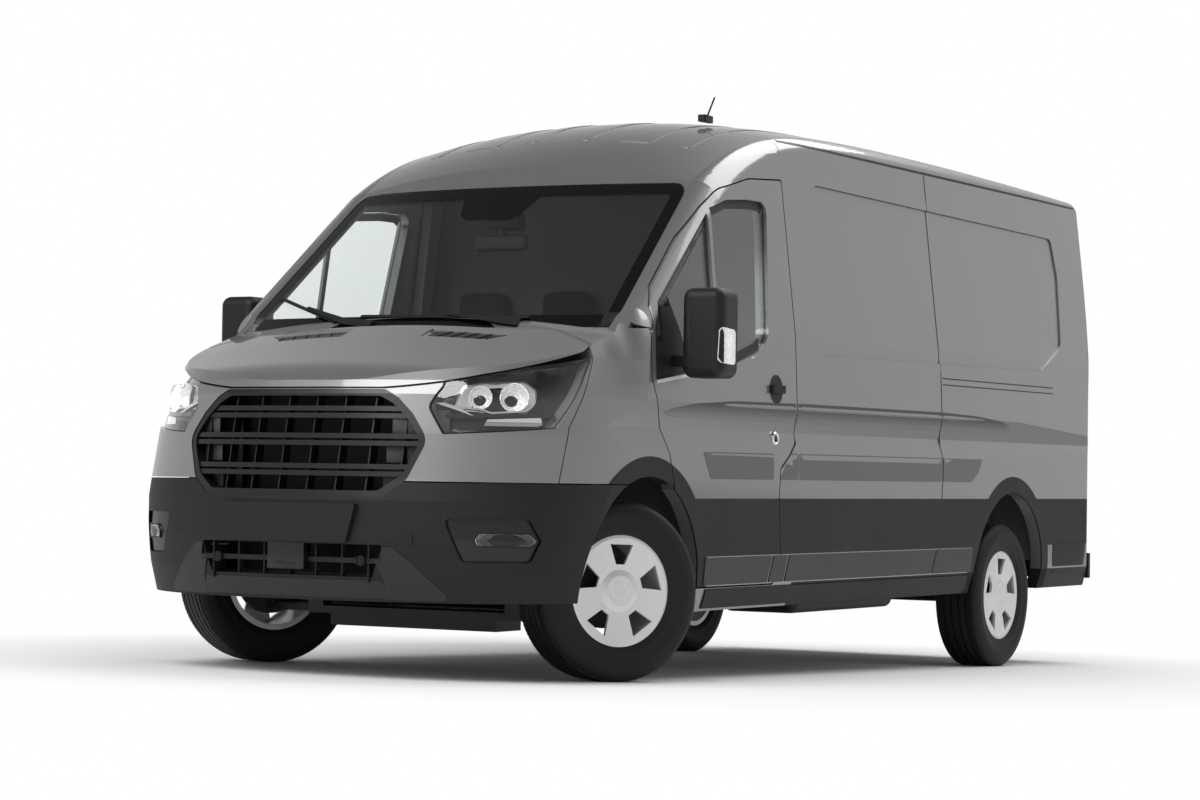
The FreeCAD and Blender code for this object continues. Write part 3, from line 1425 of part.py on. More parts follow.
def make_wheels():
    """Four tyres and four steel wheels with five-spoke covers."""
    tyre = [
        (minus("tread_half"), "tyre_radius"), ("tread_half", "tyre_radius"),
        ("sidewall_half", "sidewall_radius"), ("bead_half", "bead_radius"),
        (minus("bead_half"), "bead_radius"), (minus("sidewall_half"), "sidewall_radius")]
    wheel = [
        (minus("rim_lip_half"), "rim_lip_radius"), (minus("barrel_half"), "barrel_radius"),
        ("barrel_half", "barrel_radius"), ("rim_lip_half", "rim_lip_radius"),
        ("cover_face", "cover_radius"), ("cover_dish_face", "cover_dish_radius"),
        ("cover_cap_face", "cover_cap_radius"), ("cover_cap_face", []),
        ("cover_bore_face", []), ("cover_back_face", "cover_back_radius"),
        ("cover_bore_face", "rim_back_radius"), (minus("rim_lip_half"), "rim_back_radius")]
    for name, side, front in (("front_left", 1, True), ("front_right", -1, True),
                              ("rear_left", 1, False), ("rear_right", -1, False)):
        place = wheel_place(side, front)
        turned_body("tyre_" + name, tyre, place)
        body = turned_body("wheel_" + name, wheel, place)
        cut_openings(body)


def cut_openings(body):
    """Five tapered openings round the wheel cover."""
    sketch = bound_sketch(body, body.Name + "_opening", "YZ_Plane", [
        (minus("opening_inner_half"), "opening_inner"), ("opening_inner_half", "opening_inner"),
        ("opening_outer_half", "opening_outer"), (minus("opening_outer_half"), "opening_outer")])
    pocket = body.newObject("PartDesign::Pocket", body.Name + "_pocket")
    pocket.Profile = sketch
    pocket.Reversed = True
    bind(pocket, "Length", plus("cover_face", "cover_face"))
    pattern = body.newObject("PartDesign::PolarPattern", body.Name + "_pattern")
    pattern.Originals = [pocket]
    pattern.Axis = (sketch, ["N_Axis"])
    pattern.Angle = 360
    bind(pattern, "Occurrences", "wheel_openings")
    body.Tip = pattern


# Steering

AXLE = [(-0.5, "overall_length"), (1, "front_overhang")]


def make_knuckles():
    """Upright, hub, brake disc, steering arm, strut and spring of each front wheel."""
    for name, side in (("knuckle_left", 1), ("knuckle_right", -1)):
        king = "kingpin_x"
        upright = bound_box(name + "_upright", flipped((plus(king, "upright_half", -1),
                                                        plus(king, "upright_half")), side),
                            (plus(AXLE, "upright_depth", -1), plus(AXLE, "upright_depth")),
                            ("upright_bottom", "upright_top"))
        arm = bound_box(name + "_arm", flipped((plus(king, "steering_arm_half", -1),
                                                plus(king, "steering_arm_half")), side),
                        (AXLE, plus(AXLE, "steering_arm")), ("steering_arm_low", "steering_arm_high"))
        bracket = bound_box(name + "_bracket", flipped((plus(king, "strut_offset", -1), king), side),
                            (plus(AXLE, "strut_radius", -1), plus(AXLE, "strut_radius")),
                            ("strut_low", "upright_top"))
        axis = X_AXIS * side
        signed = lambda size: terms(size) if side > 0 else minus(size)
        hub = bound_rod(name + "_hub", axis, (signed(king), AXLE, "tyre_radius"),
                        plus(plus("track_half", "hub_end"), king, -1), "hub_radius")
        disc = bound_rod(name + "_disc", axis, (signed(plus(king, "disc_near")), AXLE, "tyre_radius"),
                         plus("disc_far", "disc_near", -1), "disc_radius")
        leg_x = signed(plus(king, "strut_offset", -1))
        leg = bound_rod(name + "_leg", Z_AXIS, (leg_x, AXLE, "strut_low"),
                        plus("strut_top", "strut_low", -1), "strut_radius")
        spring = bound_rod(name + "_spring", Z_AXIS, (leg_x, AXLE, "spring_low"),
                           plus("spring_top", "spring_low", -1), "spring_radius")
        fused(name, [upright, arm, bracket, hub, disc, leg, spring], steered(side))


def make_steering():
    """Rack with its two track rods, and the steering wheel with its column."""
    rod_y = plus(AXLE, "rod_offset")
    rack = bound_rod("rack_tube", X_AXIS, (minus("rack_half"), rod_y, "rod_height"),
                     plus("rack_half", "rack_half"), "rack_radius")
    rods = bound_rod("rack_rods", X_AXIS, (minus("kingpin_x"), rod_y, "rod_height"),
                     plus("kingpin_x", "kingpin_x"), "rod_radius")
    place = FreeCAD.Placement(V(S.rest_rack_shift, S.frame_shift, 0), FreeCAD.Rotation())
    fused("steering_rack", [rack, rods], place)
    rim = doc.addObject("Part::Torus", "steering_rim_ring")
    bind(rim, "Radius1", "steering_wheel_radius")
    bind(rim, "Radius2", "steering_rim")
    hub = bound_rod("steering_hub", Z_AXIS, ([], [], minus("steering_hub_half")),
                    plus("steering_hub_half", "steering_hub_half"), "steering_hub_radius")
    column = bound_rod("steering_column", Z_AXIS, ([], [], minus("column_length")),
                       "column_length", "column_radius")
    half, thin = "steering_spoke_half", plus([(0.5, "steering_rim")], [])
    across = bound_box("steering_spoke_across", (minus("steering_wheel_radius"), "steering_wheel_radius"),
                       (minus(half), half), (minus(thin), thin))
    down = bound_box("steering_spoke_down", (minus(half), half), (minus("steering_wheel_radius"), []),
                     (minus(thin), thin))
    seat = FreeCAD.Placement(V(S.steering_wheel_x, S.steering_wheel_y, S.steering_wheel_height),
                             FreeCAD.Rotation(X_AXIS, -S.column_angle))
    fused("steering_wheel", [rim, hub, column, across, down], BODY_RAKE.multiply(seat))


# Floor, bulkhead and what stands on it

def make_floor():
    """Load floor with wheel boxes, cab floor with footwell, and the front wheels' liners."""
    rear_y = S.rear_member_front_y - S.seat_gap
    bulk_front = S.bulkhead_y - S.bulkhead_thickness / 2
    bulk_rear = S.bulkhead_y + S.bulkhead_thickness / 2
    post_inner = S.hollow_half - S.wall - S.shut_gap * 1.5 - S.post_width - S.seat_gap
    post_outer = post_inner + S.post_width
    low, thin = S.load_floor_height - S.floor_thickness, S.liner_thickness
    half_box = S.arch_radius + S.floor_thickness / 2
    load = block(-OUT, OUT, bulk_rear + S.seat_gap, rear_y, low, S.load_floor_height).common(INNER)
    for side in (1, -1):
        outer = block(*sorted((side * S.arch_box_half, side * OUT)), REAR_AXLE_Y - half_box,
                      REAR_AXLE_Y + half_box, low, S.arch_box_top)
        hollow = block(*sorted((side * (S.arch_box_half + thin / 2), side * OUT)),
                       REAR_AXLE_Y - half_box + thin / 2, REAR_AXLE_Y + half_box - thin / 2,
                       LOW, S.arch_box_top - thin / 2)
        load = load.fuse(outer.common(INNER)).cut(hollow)
    add_piece("load_floor", largest(load), BODY_RAKE)

    floor_low = S.door_bottom - S.shut_gap * 2 + S.seat_gap
    pieces = [
        block(-post_outer, post_outer, S.post_sill_y, S.pillar_y - S.post_depth - S.seat_gap,
              floor_low, S.cab_floor_height),
        block(-post_inner, post_inner, S.post_sill_y, bulk_front - S.seat_gap,
              floor_low, S.cab_floor_height),
        block(-S.wheelhouse_half, S.wheelhouse_half, S.toe_y - S.toe_thickness, S.post_sill_y,
              floor_low, S.cab_floor_height),
        block(-S.wheelhouse_half, S.wheelhouse_half, S.toe_y - S.toe_thickness, S.toe_y,
              floor_low, S.wheelhouse_top),
        block(-post_inner, post_inner, S.toe_y - S.toe_thickness, S.toe_y,
              S.wheelhouse_top - thin, S.scuttle_bottom - S.seat_gap)]
    for side in (1, -1):
        inner, wall = side * S.wheelhouse_half, side * (S.wheelhouse_half + thin)
        pieces += [
            block(*sorted((inner, side * post_outer)), S.post_sill_y - thin, S.post_sill_y,
                  floor_low, S.wheelhouse_top),
            block(*sorted((inner, side * post_outer)), S.door_front_y, S.post_sill_y,
                  S.wheelhouse_top - thin, S.wheelhouse_top - S.seat_gap),
            block(*sorted((inner, side * S.liner_outer_x)), S.liner_front_y, S.door_front_y,
                  S.wheelhouse_top - thin, S.wheelhouse_top - S.seat_gap),
            block(*sorted((inner, wall)), S.liner_front_y, S.post_sill_y,
                  S.liner_bottom, S.wheelhouse_top - S.seat_gap),
            block(*sorted((inner, wall)), S.toe_y - S.toe_thickness, S.post_sill_y,
                  floor_low, S.liner_bottom)]
    add_piece("cab_floor", pieces[0].fuse(pieces[1:]), BODY_RAKE)
    bulkhead = block(-OUT, OUT, bulk_front, bulk_rear, floor_low, HIGH).common(INNER)
    add_piece("bulkhead", bulkhead, BODY_RAKE)


def make_cab():
    """Dashboard with column shroud, driver's seat and two-seat bench."""
    dash = padded_body("dash_body", "YZ_Plane", [
        ("dash_front_y", "dash_bottom"), ("dash_front_y", "dash_shelf"),
        ("dash_nose_y", "dash_shelf"), ("dash_nose_y", plus("dash_shelf", [(1, "toe_thickness")])),
        (plus("dash_front_y", "shut_gap", 3), "dash_top"), ("dash_foot_y", "dash_top"),
        (plus("dash_face_y", "shut_gap", -4), "dash_brow"), ("dash_face_y", "dash_knee"),
        ("dash_foot_y", "dash_bottom")], minus("dash_half"), "dash_half")
    shroud = bound_rod("column_shroud", Z_AXIS, ([], [], []), plus("shroud_end", "shroud_start", -1),
                       "shroud_radius")
    tilt = FreeCAD.Rotation(X_AXIS, -S.column_angle)
    start = V(S.steering_wheel_x, S.steering_wheel_y, S.steering_wheel_height)
    shroud.Placement = FreeCAD.Placement(start + tilt.multVec(V(0, 0, -S.shroud_end)), tilt)
    fused("dashboard", [dash, shroud], BODY_RAKE)
    for label, low, high in (
            ("driver_seat", plus("steering_wheel_x", "seat_half", -1), plus("steering_wheel_x", "seat_half")),
            ("passenger_bench", "bench_outer_x", "bench_inner_x")):
        seat = padded_body(label + "_body", "YZ_Plane", [
            ("seat_foot_y", "cab_floor_height"), ("seat_front_y", "seat_nose"),
            ("seat_front_y", "seat_top"), ("seat_fold_y", "seat_fold"),
            ("seat_back_y", "seat_back_top"), ("seat_rear_top_y", "seat_back_top"),
            ("seat_rear_y", "seat_fold"), ("seat_heel_y", "cab_floor_height")], low, high)
        rounded(seat, "seat_rounding", lambda edge: edge.BoundBox.ZMin > S.seat_nose - S.shut_gap
                and edge.BoundBox.XLength > S.seat_half)
        middle = (number(low) + number(high)) / 2
        rests = [middle] if label == "driver_seat" else [
            middle - S.seat_half * REST_SPREAD_SHARE, middle + S.seat_half * REST_SPREAD_SHARE]
        solids = [seat]
        for index, rest_x in enumerate(rests):
            rest = bound_box("%s_rest_%d" % (label, index), ([], "headrest_half"),
                             ("headrest_front_y", "headrest_rear_y"), ("headrest_bottom", "headrest_top"))
            bind(rest, "Length", plus("headrest_half", "headrest_half"))
            rest.Placement.Base.x = rest_x - S.headrest_half
            solids.append(rest)
        fused(label, solids, BODY_RAKE)


REST_SPREAD_SHARE = 0.9


def make_underbody():
    """Engine block, radiator, rails, subframe, tank, exhaust, spare wheel and rear axle."""
    engine = bound_box("engine", (minus("engine_half"), "engine_half"),
                       ("engine_front_y", "engine_rear_y"), ("engine_bottom", "engine_top"))
    fused_one("engine_block", engine)
    core = [(-0.5, "overall_length"), (1, "radiator_setback")]
    radiator = bound_box("radiator_core", (minus("radiator_half"), "radiator_half"),
                         (core, plus(core, "radiator_thickness")), ("radiator_bottom", "radiator_top"))
    fused_one("radiator", radiator)
    make_chassis(core)
    make_subframe()
    make_rear_axle()
    tank = padded_body("tank_body", "YZ_Plane", [
        ("tank_front_y", "tank_bottom"), ("tank_rear_y", "tank_bottom"),
        ("tank_rear_y", "tank_top"), ("tank_front_y", "tank_top")], "tank_inner_x", "tank_outer_x")
    rounded(tank, "tank_rounding", lambda edge: edge.BoundBox.ZMax < S.tank_bottom + S.shut_gap
            or edge.BoundBox.ZLength > S.tank_rounding * 2)
    keep(tank, "fuel_tank", BODY_RAKE)
    spare_height = S.load_floor_height - S.floor_thickness - S.seat_gap - S.spare_half
    spare = turned_body("spare_body", [
        (minus("spare_half"), "spare_radius"), ("spare_half", "spare_radius"),
        ("spare_half", "spare_rim_radius"), ("spare_rim_half", "spare_rim_radius"),
        ("spare_rim_half", []), (minus("spare_rim_half"), []),
        (minus("spare_rim_half"), "spare_rim_radius"), (minus("spare_half"), "spare_rim_radius")],
        BODY_RAKE.multiply(FreeCAD.Placement(V(0, S.spare_y, spare_height),
                                             FreeCAD.Rotation(Y_AXIS, 90))))
    spare.Label = "spare_wheel"
    make_exhaust()


def fused_one(label, item):
    """A sub-part that is one bound solid."""
    holder = doc.addObject("Part::MultiFuse", label)
    holder.Shapes = [item, item]
    keep(holder, label, BODY_RAKE)


def make_chassis(core):
    """Two long rails with cross members, and two higher rails beside the engine."""
    items, nose = [], []
    for side in (1, -1):
        x_span = flipped((plus("rail_x", "rail_half", -1), plus("rail_x", "rail_half")), side)
        tag = "left" if side > 0 else "right"
        nose.append(bound_box("nose_rail_" + tag, x_span, ("rail_front_y", "nose_rail_rear_y"),
                              ("nose_rail_bottom", "nose_rail_top")))
        items += [
            bound_box("cab_rail_" + tag, x_span, ("cab_rail_front_y", "cab_rail_rear_y"),
                      ("cab_rail_bottom", "cab_rail_top")),
            bound_box("load_rail_" + tag, x_span, ("cab_rail_rear_y", "rail_rear_y"),
                      ("rail_bottom", "rail_top"))]
    wide = (minus(plus("rail_x", "rail_half")), plus("rail_x", "rail_half"))
    nose.append(bound_box("cross_front", wide, (core, plus(core, "cross_depth")),
                          (plus("nose_rail_bottom", "cross_depth", -0.75), "nose_rail_bottom")))
    fused("front_rails", nose, BODY_RAKE)
    for index, (share, low, high) in enumerate(CROSS_SHARES):
        y = [(share, "wheelbase")]
        items.append(bound_box("cross_%d" % index, wide, (y, plus(y, "cross_depth")), (low, high)))
    fused("chassis_frame", items, BODY_RAKE)


CROSS_SHARES = [
    (-0.300, "cab_rail_bottom", "cab_rail_top"), (0.020, "rail_bottom", "cab_rail_top"),
    (0.270, "rail_bottom", "cab_rail_top"), (0.540, "rail_bottom", "cab_rail_top"),
]


def make_subframe():
    """Cross member under the engine with both lower arms and their ball studs."""
    near, far = "arm_inner_depth", "arm_outer_depth"
    end = plus("kingpin_x", "arm_end")
    left = [
        ("subframe_half", plus(AXLE, "subframe_front", -1)), ("subframe_half", plus(AXLE, near, -1)),
        (end, plus(AXLE, far, -1)), (end, plus(AXLE, far)), ("subframe_half", plus(AXLE, near)),
        ("subframe_half", plus(AXLE, "subframe_rear"))]
    corners = left + [(minus(x), y) for x, y in reversed(left)]
    arms = padded_body("lower_arms", "XY_Plane", corners, "arm_bottom", "arm_top")
    y_span = (plus(AXLE, "subframe_front", -1), plus(AXLE, "subframe_rear"))
    items = [arms, bound_box("subframe_beam", (minus("beam_half"), "beam_half"), y_span,
                             ("subframe_bottom", "arm_top"))]
    for side in (1, -1):
        tag = "left" if side > 0 else "right"
        signed_x = terms("kingpin_x") if side > 0 else minus("kingpin_x")
        items.append(bound_rod("ball_stud_" + tag, Z_AXIS, (signed_x, AXLE, "arm_bottom"),
                               plus("stud_top", "arm_bottom", -1), "stud_radius"))
        x_span = flipped((plus("rail_x", "rail_half", -1), plus("rail_x", "rail_half")), side)
        post_y = plus(AXLE, "subframe_front", -1)
        items.append(bound_box("subframe_post_" + tag, x_span, (post_y, plus(post_y, "subframe_rear")),
                               ("arm_bottom", plus("nose_rail_bottom", "seat_gap", -1))))
    fused("front_subframe", items, BODY_RAKE)


def make_rear_axle():
    """Beam, hubs and brake discs on two leaf springs, drawn from the rear wheels' centre."""
    inner = plus("spring_x", "spring_half_width", -1)
    outer = plus("spring_x", "spring_half_width")
    hub = plus(plus("track_half", "hub_end"), "rear_hub_start", -1)
    items = [bound_rod("rear_beam", X_AXIS, (minus("rear_disc_inner"), [], []),
                       plus("rear_disc_inner", "rear_disc_inner"), "beam_radius")]
    leaf = [
        ("spring_half_length", "leaf_end_bottom"), ("spring_half_length", "leaf_end_top"),
        ("spring_eye_half", "leaf_end_top"), ("spring_seat_half", "leaf_top")]
    corners = leaf + [(minus(y), z) for y, z in reversed(leaf)]
    corners += [(minus("spring_seat_half"), "leaf_bottom"), ("spring_seat_half", "leaf_bottom")]
    for side in (1, -1):
        tag = "left" if side > 0 else "right"
        low, high = flipped((inner, outer), side)
        items.append(padded_body("leaf_spring_" + tag, "YZ_Plane", corners, low, high))
        axis = X_AXIS * side
        start = terms("rear_hub_start") if side > 0 else minus("rear_hub_start")
        disc = terms("rear_disc_inner") if side > 0 else minus("rear_disc_inner")
        items.append(bound_rod("rear_hub_" + tag, axis, (start, [], []), hub, "hub_radius"))
        items.append(bound_rod("rear_disc_" + tag, axis, (disc, [], []),
                               plus("rear_disc_outer", "rear_disc_inner", -1), "disc_radius"))
    place = FreeCAD.Placement(V(0, REAR_AXLE_Y, S.tyre_radius), FreeCAD.Rotation(X_AXIS, S.rake_angle))
    fused("rear_axle", items, shift().multiply(place))


def make_exhaust():
    """Pipe from the engine past the rack, through the silencer, out before the rear wheel."""
    x, low = S.pipe_x, S.pipe_low
    places = [V(x, S.engine_rear_y + S.seat_gap, S.pipe_start_height), V(x, S.pipe_bend_y, S.pipe_high),
              V(x, S.pipe_drop_y, S.pipe_high), V(x, S.pipe_level_y, low),
              V(x, S.outlet_bend_y, low), V(S.outlet_x, S.outlet_y, low)]
    pieces = [rod(V(x, S.silencer_front_y, low), V(x, S.silencer_rear_y, low), S.silencer_radius)]
    for start, end in zip(places, places[1:]):
        pieces.append(rod(start, end, S.pipe_radius))
        pieces.append(Part.makeSphere(S.pipe_radius, end))
    pipe = joined(pieces).cut(block(-OUT, OUT, FAR_FRONT, S.engine_rear_y + S.seat_gap, LOW, HIGH))
    add_piece("exhaust", largest(pipe), BODY_RAKE)


# Rear end

def make_rear():
    """Rear doors with pressed panels and hinges, lamps, bumper and aerial."""
    front = S.rear_face_y - S.wall
    low, high = S.rear_door_bottom, S.rear_door_top
    inner, outer = S.rear_door_gap / 2, S.rear_door_half
    radius = S.sliding_radius
    leaf = plate("Y", front, S.rear_face_y, [
        (inner, low, 0), (outer, low, 0), (outer, high, radius), (inner, high, 0)])
    edge, split = S.rear_panel_edge, S.rear_panel_split
    for bottom, top in ((low + edge, split - edge / 4), (split + edge / 4, high - edge)):
        leaf = leaf.cut(plate("Y", S.rear_face_y - S.rear_panel_depth, FAR_REAR, [
            (inner + edge, bottom, edge / 2), (outer - edge, bottom, edge / 2),
            (outer - edge, top, edge / 2), (inner + edge, top, edge / 2)]))
    pieces = [leaf]
    tall = high - low
    for share in HINGE_SHARES:
        z = low + share * tall
        pieces.append(rod(V(S.rear_hinge_x, S.rear_hinge_y, z - S.hinge_half),
                          V(S.rear_hinge_x, S.rear_hinge_y, z + S.hinge_half), S.hinge_radius))
        pieces.append(block(S.rear_hinge_x - S.hinge_radius * 3, S.rear_hinge_x, S.rear_face_y - S.hinge_radius,
                            S.rear_hinge_y + S.hinge_radius / 2, z - S.hinge_half / 2, z + S.hinge_half / 2))
    leaf = joined(pieces)
    pull = block(inner + edge / 4, inner + edge * 0.75, S.rear_face_y, S.rear_face_y + S.handle_stand,
                 split - S.handle_length, split + S.handle_length)
    add_piece("rear_door_left", joined([leaf, pull]), BODY_RAKE)
    add_piece("rear_door_right", mirrored(leaf), BODY_RAKE)
    lamp = largest(OUTER.common(tail_lamp_zone(0)))
    add_piece("tail_lamps", group([lamp, mirrored(lamp)]), BODY_RAKE)
    left = [
        ("rear_member_half", "rear_member_front_y"),
        ("rear_member_half", plus("rear_face_y", "seat_gap")),
        ("rear_bumper_half", plus("rear_face_y", "seat_gap")),
        ("rear_bumper_half", "rear_bumper_corner_y"), ("rear_bumper_edge", "rear_bumper_rear_y")]
    corners = left + [(minus(x), y) for x, y in reversed(left)]
    bumper = padded_body("rear_bumper_body", "XY_Plane", corners, "rear_bumper_bottom", "rear_bumper_top")
    holes = []
    for side in (1, -1):
        hole = bound_rod("towbar_bore_%s" % ("left" if side > 0 else "right"), Y_AXIS,
                         (plus([], "towbar_half_spacing", side), "rear_member_front_y", BUMPER_MIDDLE),
                         plus("rear_bumper_rear_y", "rear_member_front_y", -1), "towbar_radius")
        holes.append(hole)
    drill = doc.addObject("Part::MultiFuse", "towbar_bores")
    drill.Shapes = holes
    bored = doc.addObject("Part::Cut", "rear_bumper")
    bored.Base, bored.Tool = bumper, drill
    keep(bored, "rear_bumper", BODY_RAKE)
    make_aerial()


HINGE_SHARES = (0.10, 0.52, 0.92)
BUMPER_MIDDLE = [(0.5, "rear_bumper_bottom"), (0.5, "rear_bumper_top")]


def make_aerial():
    """Short roof aerial that leans back from its moulded foot."""
    x, y, z = S.aerial_x, S.aerial_y, S.aerial_foot_height
    half, wide = S.aerial_base_half, S.aerial_base_half_width
    foot = plate("Z", z, z + S.aerial_base_height, [
        (x - wide, y - half, wide / 2), (x + wide, y - half, wide / 2),
        (x + wide / 2, y + half, wide / 3), (x - wide / 2, y + half, wide / 3)]).cut(OUTER)
    lean = math.radians(S.aerial_angle)
    start = V(x, y, z + S.aerial_base_height / 2)
    mast = rod(start, start + V(0, math.sin(lean), math.cos(lean)) * S.aerial_length, S.aerial_radius)
    add_piece("aerial", joined([largest(foot), mast]), BODY_RAKE)


# The whole van

def check_and_write():
    """Recomputes, stops on any failed object or shape, and writes one file per sub-part."""
    doc.recompute()
    for item in doc.Objects:
        if "Invalid" in item.State or "Error" in item.State:
            raise RuntimeError("failed object: " + item.Label)
    os.makedirs("parts", exist_ok=True)
    for item in PIECES:
        shape = item.Shape
        if shape.isNull() or not shape.isValid() or not shape.Solids:
            raise RuntimeError("bad shape: " + item.Label)
    for item in PIECES:
        item.Shape.exportStep("parts/%s.step" % item.Label)
        print(item.Label, len(item.Shape.Solids), round(item.Shape.Volume))


def build():
    """Makes every sub-part of the van."""
    make_windscreen()
    make_cab_frame()
    make_roofs()
    make_sides()
    make_side_cladding()
    make_front_doors()
    make_nose()
    make_rear()
    make_floor()
    make_cab()
    make_underbody()
    make_wheels()
    make_knuckles()
    make_steering()


build()
check_and_write()
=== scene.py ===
# %% [markdown]
# A panel van, dressed for its portrait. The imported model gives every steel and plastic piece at
# its real size. This lesson adds finishes, tread, lamps, trim and soft seats. Everything is drawn
# in metres, in the van's own level axes, and then raked with the body.

# %% Load the frame
import json
import math

import bmesh
import bpy
from mathutils import Matrix, Vector
from mathutils.bvhtree import BVHTree


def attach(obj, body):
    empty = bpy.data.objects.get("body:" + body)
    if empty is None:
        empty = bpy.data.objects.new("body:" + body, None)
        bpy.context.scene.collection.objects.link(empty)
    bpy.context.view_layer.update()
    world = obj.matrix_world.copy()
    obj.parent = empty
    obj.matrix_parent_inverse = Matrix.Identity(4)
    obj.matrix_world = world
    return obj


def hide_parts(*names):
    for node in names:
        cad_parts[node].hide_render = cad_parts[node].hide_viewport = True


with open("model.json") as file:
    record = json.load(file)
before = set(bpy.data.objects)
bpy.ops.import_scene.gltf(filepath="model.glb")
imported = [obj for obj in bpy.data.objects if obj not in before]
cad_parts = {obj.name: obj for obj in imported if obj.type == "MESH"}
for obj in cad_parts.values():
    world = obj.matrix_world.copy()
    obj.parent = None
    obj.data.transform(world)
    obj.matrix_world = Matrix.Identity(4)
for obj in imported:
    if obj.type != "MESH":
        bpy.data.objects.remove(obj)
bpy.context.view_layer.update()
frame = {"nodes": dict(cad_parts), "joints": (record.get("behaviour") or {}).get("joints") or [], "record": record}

scene = bpy.context.scene

# %% [markdown]
# An empty van stands tail high. Its body is drawn level, then turned about the front axle. The
# axle's place comes from the steering joint, so the dress follows the frame if the frame moves.

# %% The van's level axes
RAKE = math.radians(1.8)
joints = {joint["name"]: joint for joint in frame["joints"]}
kingpin = Vector(joints["steer_left"]["pos_m"])
FRONT_AXLE_Y = -1.9675
level_axle = Vector((0, FRONT_AXLE_Y, kingpin.z))
BODY = (Matrix.Translation((0, kingpin.y, kingpin.z)) @ Matrix.Rotation(RAKE, 4, "X")
        @ Matrix.Translation(-level_axle))
LEVEL = BODY.inverted()
print("front axle at", [round(value, 4) for value in kingpin])


# %% [markdown]
# A material is a small graph of nodes. One function adds a node, and one turns a colour written in
# hex, as a paint chart does, into the linear values that light is counted in.

# %% Node helper and colours
def linear(colour):
    """The linear values of an sRGB colour written in hex."""
    parts = [int(colour[index:index + 2], 16) / 255 for index in (1, 3, 5)]
    return [part / 12.92 if part <= 0.04045 else ((part + 0.055) / 1.055) ** 2.4
            for part in parts] + [1.0]


def add(material, kind, settings=()):
    """Adds a node, sets its properties, fills or links its inputs and gives its outputs."""
    node = material.node_tree.nodes.new("ShaderNode" + kind)
    for key, value in dict(settings).items():
        if isinstance(value, bpy.types.NodeSocket):
            material.node_tree.links.new(value, node.inputs[key])
        elif isinstance(key, int) or key in node.inputs:
            node.inputs[key].default_value = value
        else:
            setattr(node, key, value)
    return node.outputs


def start(name, colour, roughness, metallic=0.0, **extra):
    """A material with a Principled shader at plain values."""
    material = bpy.data.materials.new(name)
    material.use_nodes = True
    material.diffuse_color = linear(colour)
    shader = material.node_tree.nodes["Principled BSDF"]
    values = {"Base Color": linear(colour), "Roughness": roughness, "Metallic": metallic}
    values.update({key.replace("_", " "): value for key, value in extra.items()})
    for key, value in values.items():
        shader.inputs[key].default_value = value
    return material, shader


def join(material, source, target):
    material.node_tree.links.new(source, target)


def texture(material, kind, settings):
    """A texture's outputs, laid out in the object's own metres."""
    place = add(material, "TexCoord")
    return add(material, "Tex" + kind, {**settings, "Vector": place["Object"]})


def bump(material, shader, height, strength, depth):
    dents = add(material, "Bump", {"Strength": strength, "Distance": depth, "Height": height})
    join(material, dents["Normal"], shader.inputs["Normal"])


def grain(material, shader, size, depth, detail=2.0, strength=0.4):
    """Fine bumps, sized in metres, such as a grained mould leaves."""
    noise = texture(material, "Noise", {"Scale": 1 / size, "Detail": detail})
    bump(material, shader, noise["Fac"], strength, depth)


def blended(material, low, high, share):
    """A colour between two, by another node's share."""
    return add(material, "Mix", {"data_type": "RGBA", 6: linear(low), 7: linear(high), 0: share})[2]


def cloud(material, shader, size, low, high, socket="Roughness"):
    """A slow change across the surface, as hands, dust and weather give."""
    noise = texture(material, "Noise", {"Scale": 1 / size, "Detail": 3.0})
    if socket == "Base Color":
        join(material, blended(material, low, high, noise["Fac"]), shader.inputs[socket])
        return
    spread = add(material, "MapRange", {"To Min": low, "To Max": high, "Value": noise["Fac"]})
    join(material, spread["Result"], shader.inputs[socket])


def painted_crevice_shade(material, shader, colour, reach):
    """Paints shade into a colour where surfaces nearly meet, as ambient occlusion finds it, and leaves open faces
    alone.
    """
    near = add(material, "AmbientOcclusion", {"Distance": reach})
    spread = add(material, "MapRange", {"From Min": 0.3, "From Max": 0.72, "Value": near["AO"]})
    openness = spread["Result"]
    join(material, blended(material, "#050505", colour, openness), shader.inputs["Base Color"])
    join(material, openness, shader.inputs["Coat Weight"])


# %% [markdown]
# Body paint is a grey base with fine metal flakes under a clear coat. The flakes are drawn as a
# very fine bump, and the coat adds its sharp second reflection. The joints between panels are
# narrow and deep, so shade is painted into the paint, and its coat faded, where two panels nearly meet.

# %% Sprayed metallic paint
VAN_GREY = "#858585"


def metallic_paint_and_shade():
    material, shader = start("sprayed metallic paint with painted joint shade", VAN_GREY, 0.36, 0.6, Coat_Roughness=0.05)
    # Painted shade: the grey darkens, and its coat fades, where surfaces nearly meet.
    painted_crevice_shade(material, shader, VAN_GREY, reach=0.014)
    cloud(material, shader, 0.9, 0.32, 0.4)
    grain(material, shader, size=0.0016, depth=0.0002, detail=1.0, strength=0.05)
    return material


# %% [markdown]
# The lower body, bumper and arches are polypropylene, moulded against a grained tool. The grain
# breaks up reflections, so the plastic looks soft and dark beside the paint.

# %% Moulded plastics
def grained_plastic(name, colour, roughness, size=0.0022):
    material, shader = start(name, colour, roughness, Specular_IOR_Level=0.35)
    grain(material, shader, size, 0.0006, 2.0, 0.35)
    cloud(material, shader, 0.5, roughness - 0.06, roughness + 0.08)
    return material


def clouded(name, colour, roughness, metallic, size, low, high, **extra):
    """A smooth finish whose roughness wanders between two values."""
    material, shader = start(name, colour, roughness, metallic, **extra)
    cloud(material, shader, size, low, high)
    return material


def smooth_plastic(name, colour, roughness):
    return clouded(name, colour, roughness, 0.0, 0.25, roughness - 0.04, roughness + 0.05)


# %% [markdown]
# Glass is clear with a light grey tint, and a lamp's polycarbonate lens is almost without colour.
# Both are thin walls: light goes straight through, and their faces add a reflection. A tail lamp's
# lens is red, with ribs moulded in it.

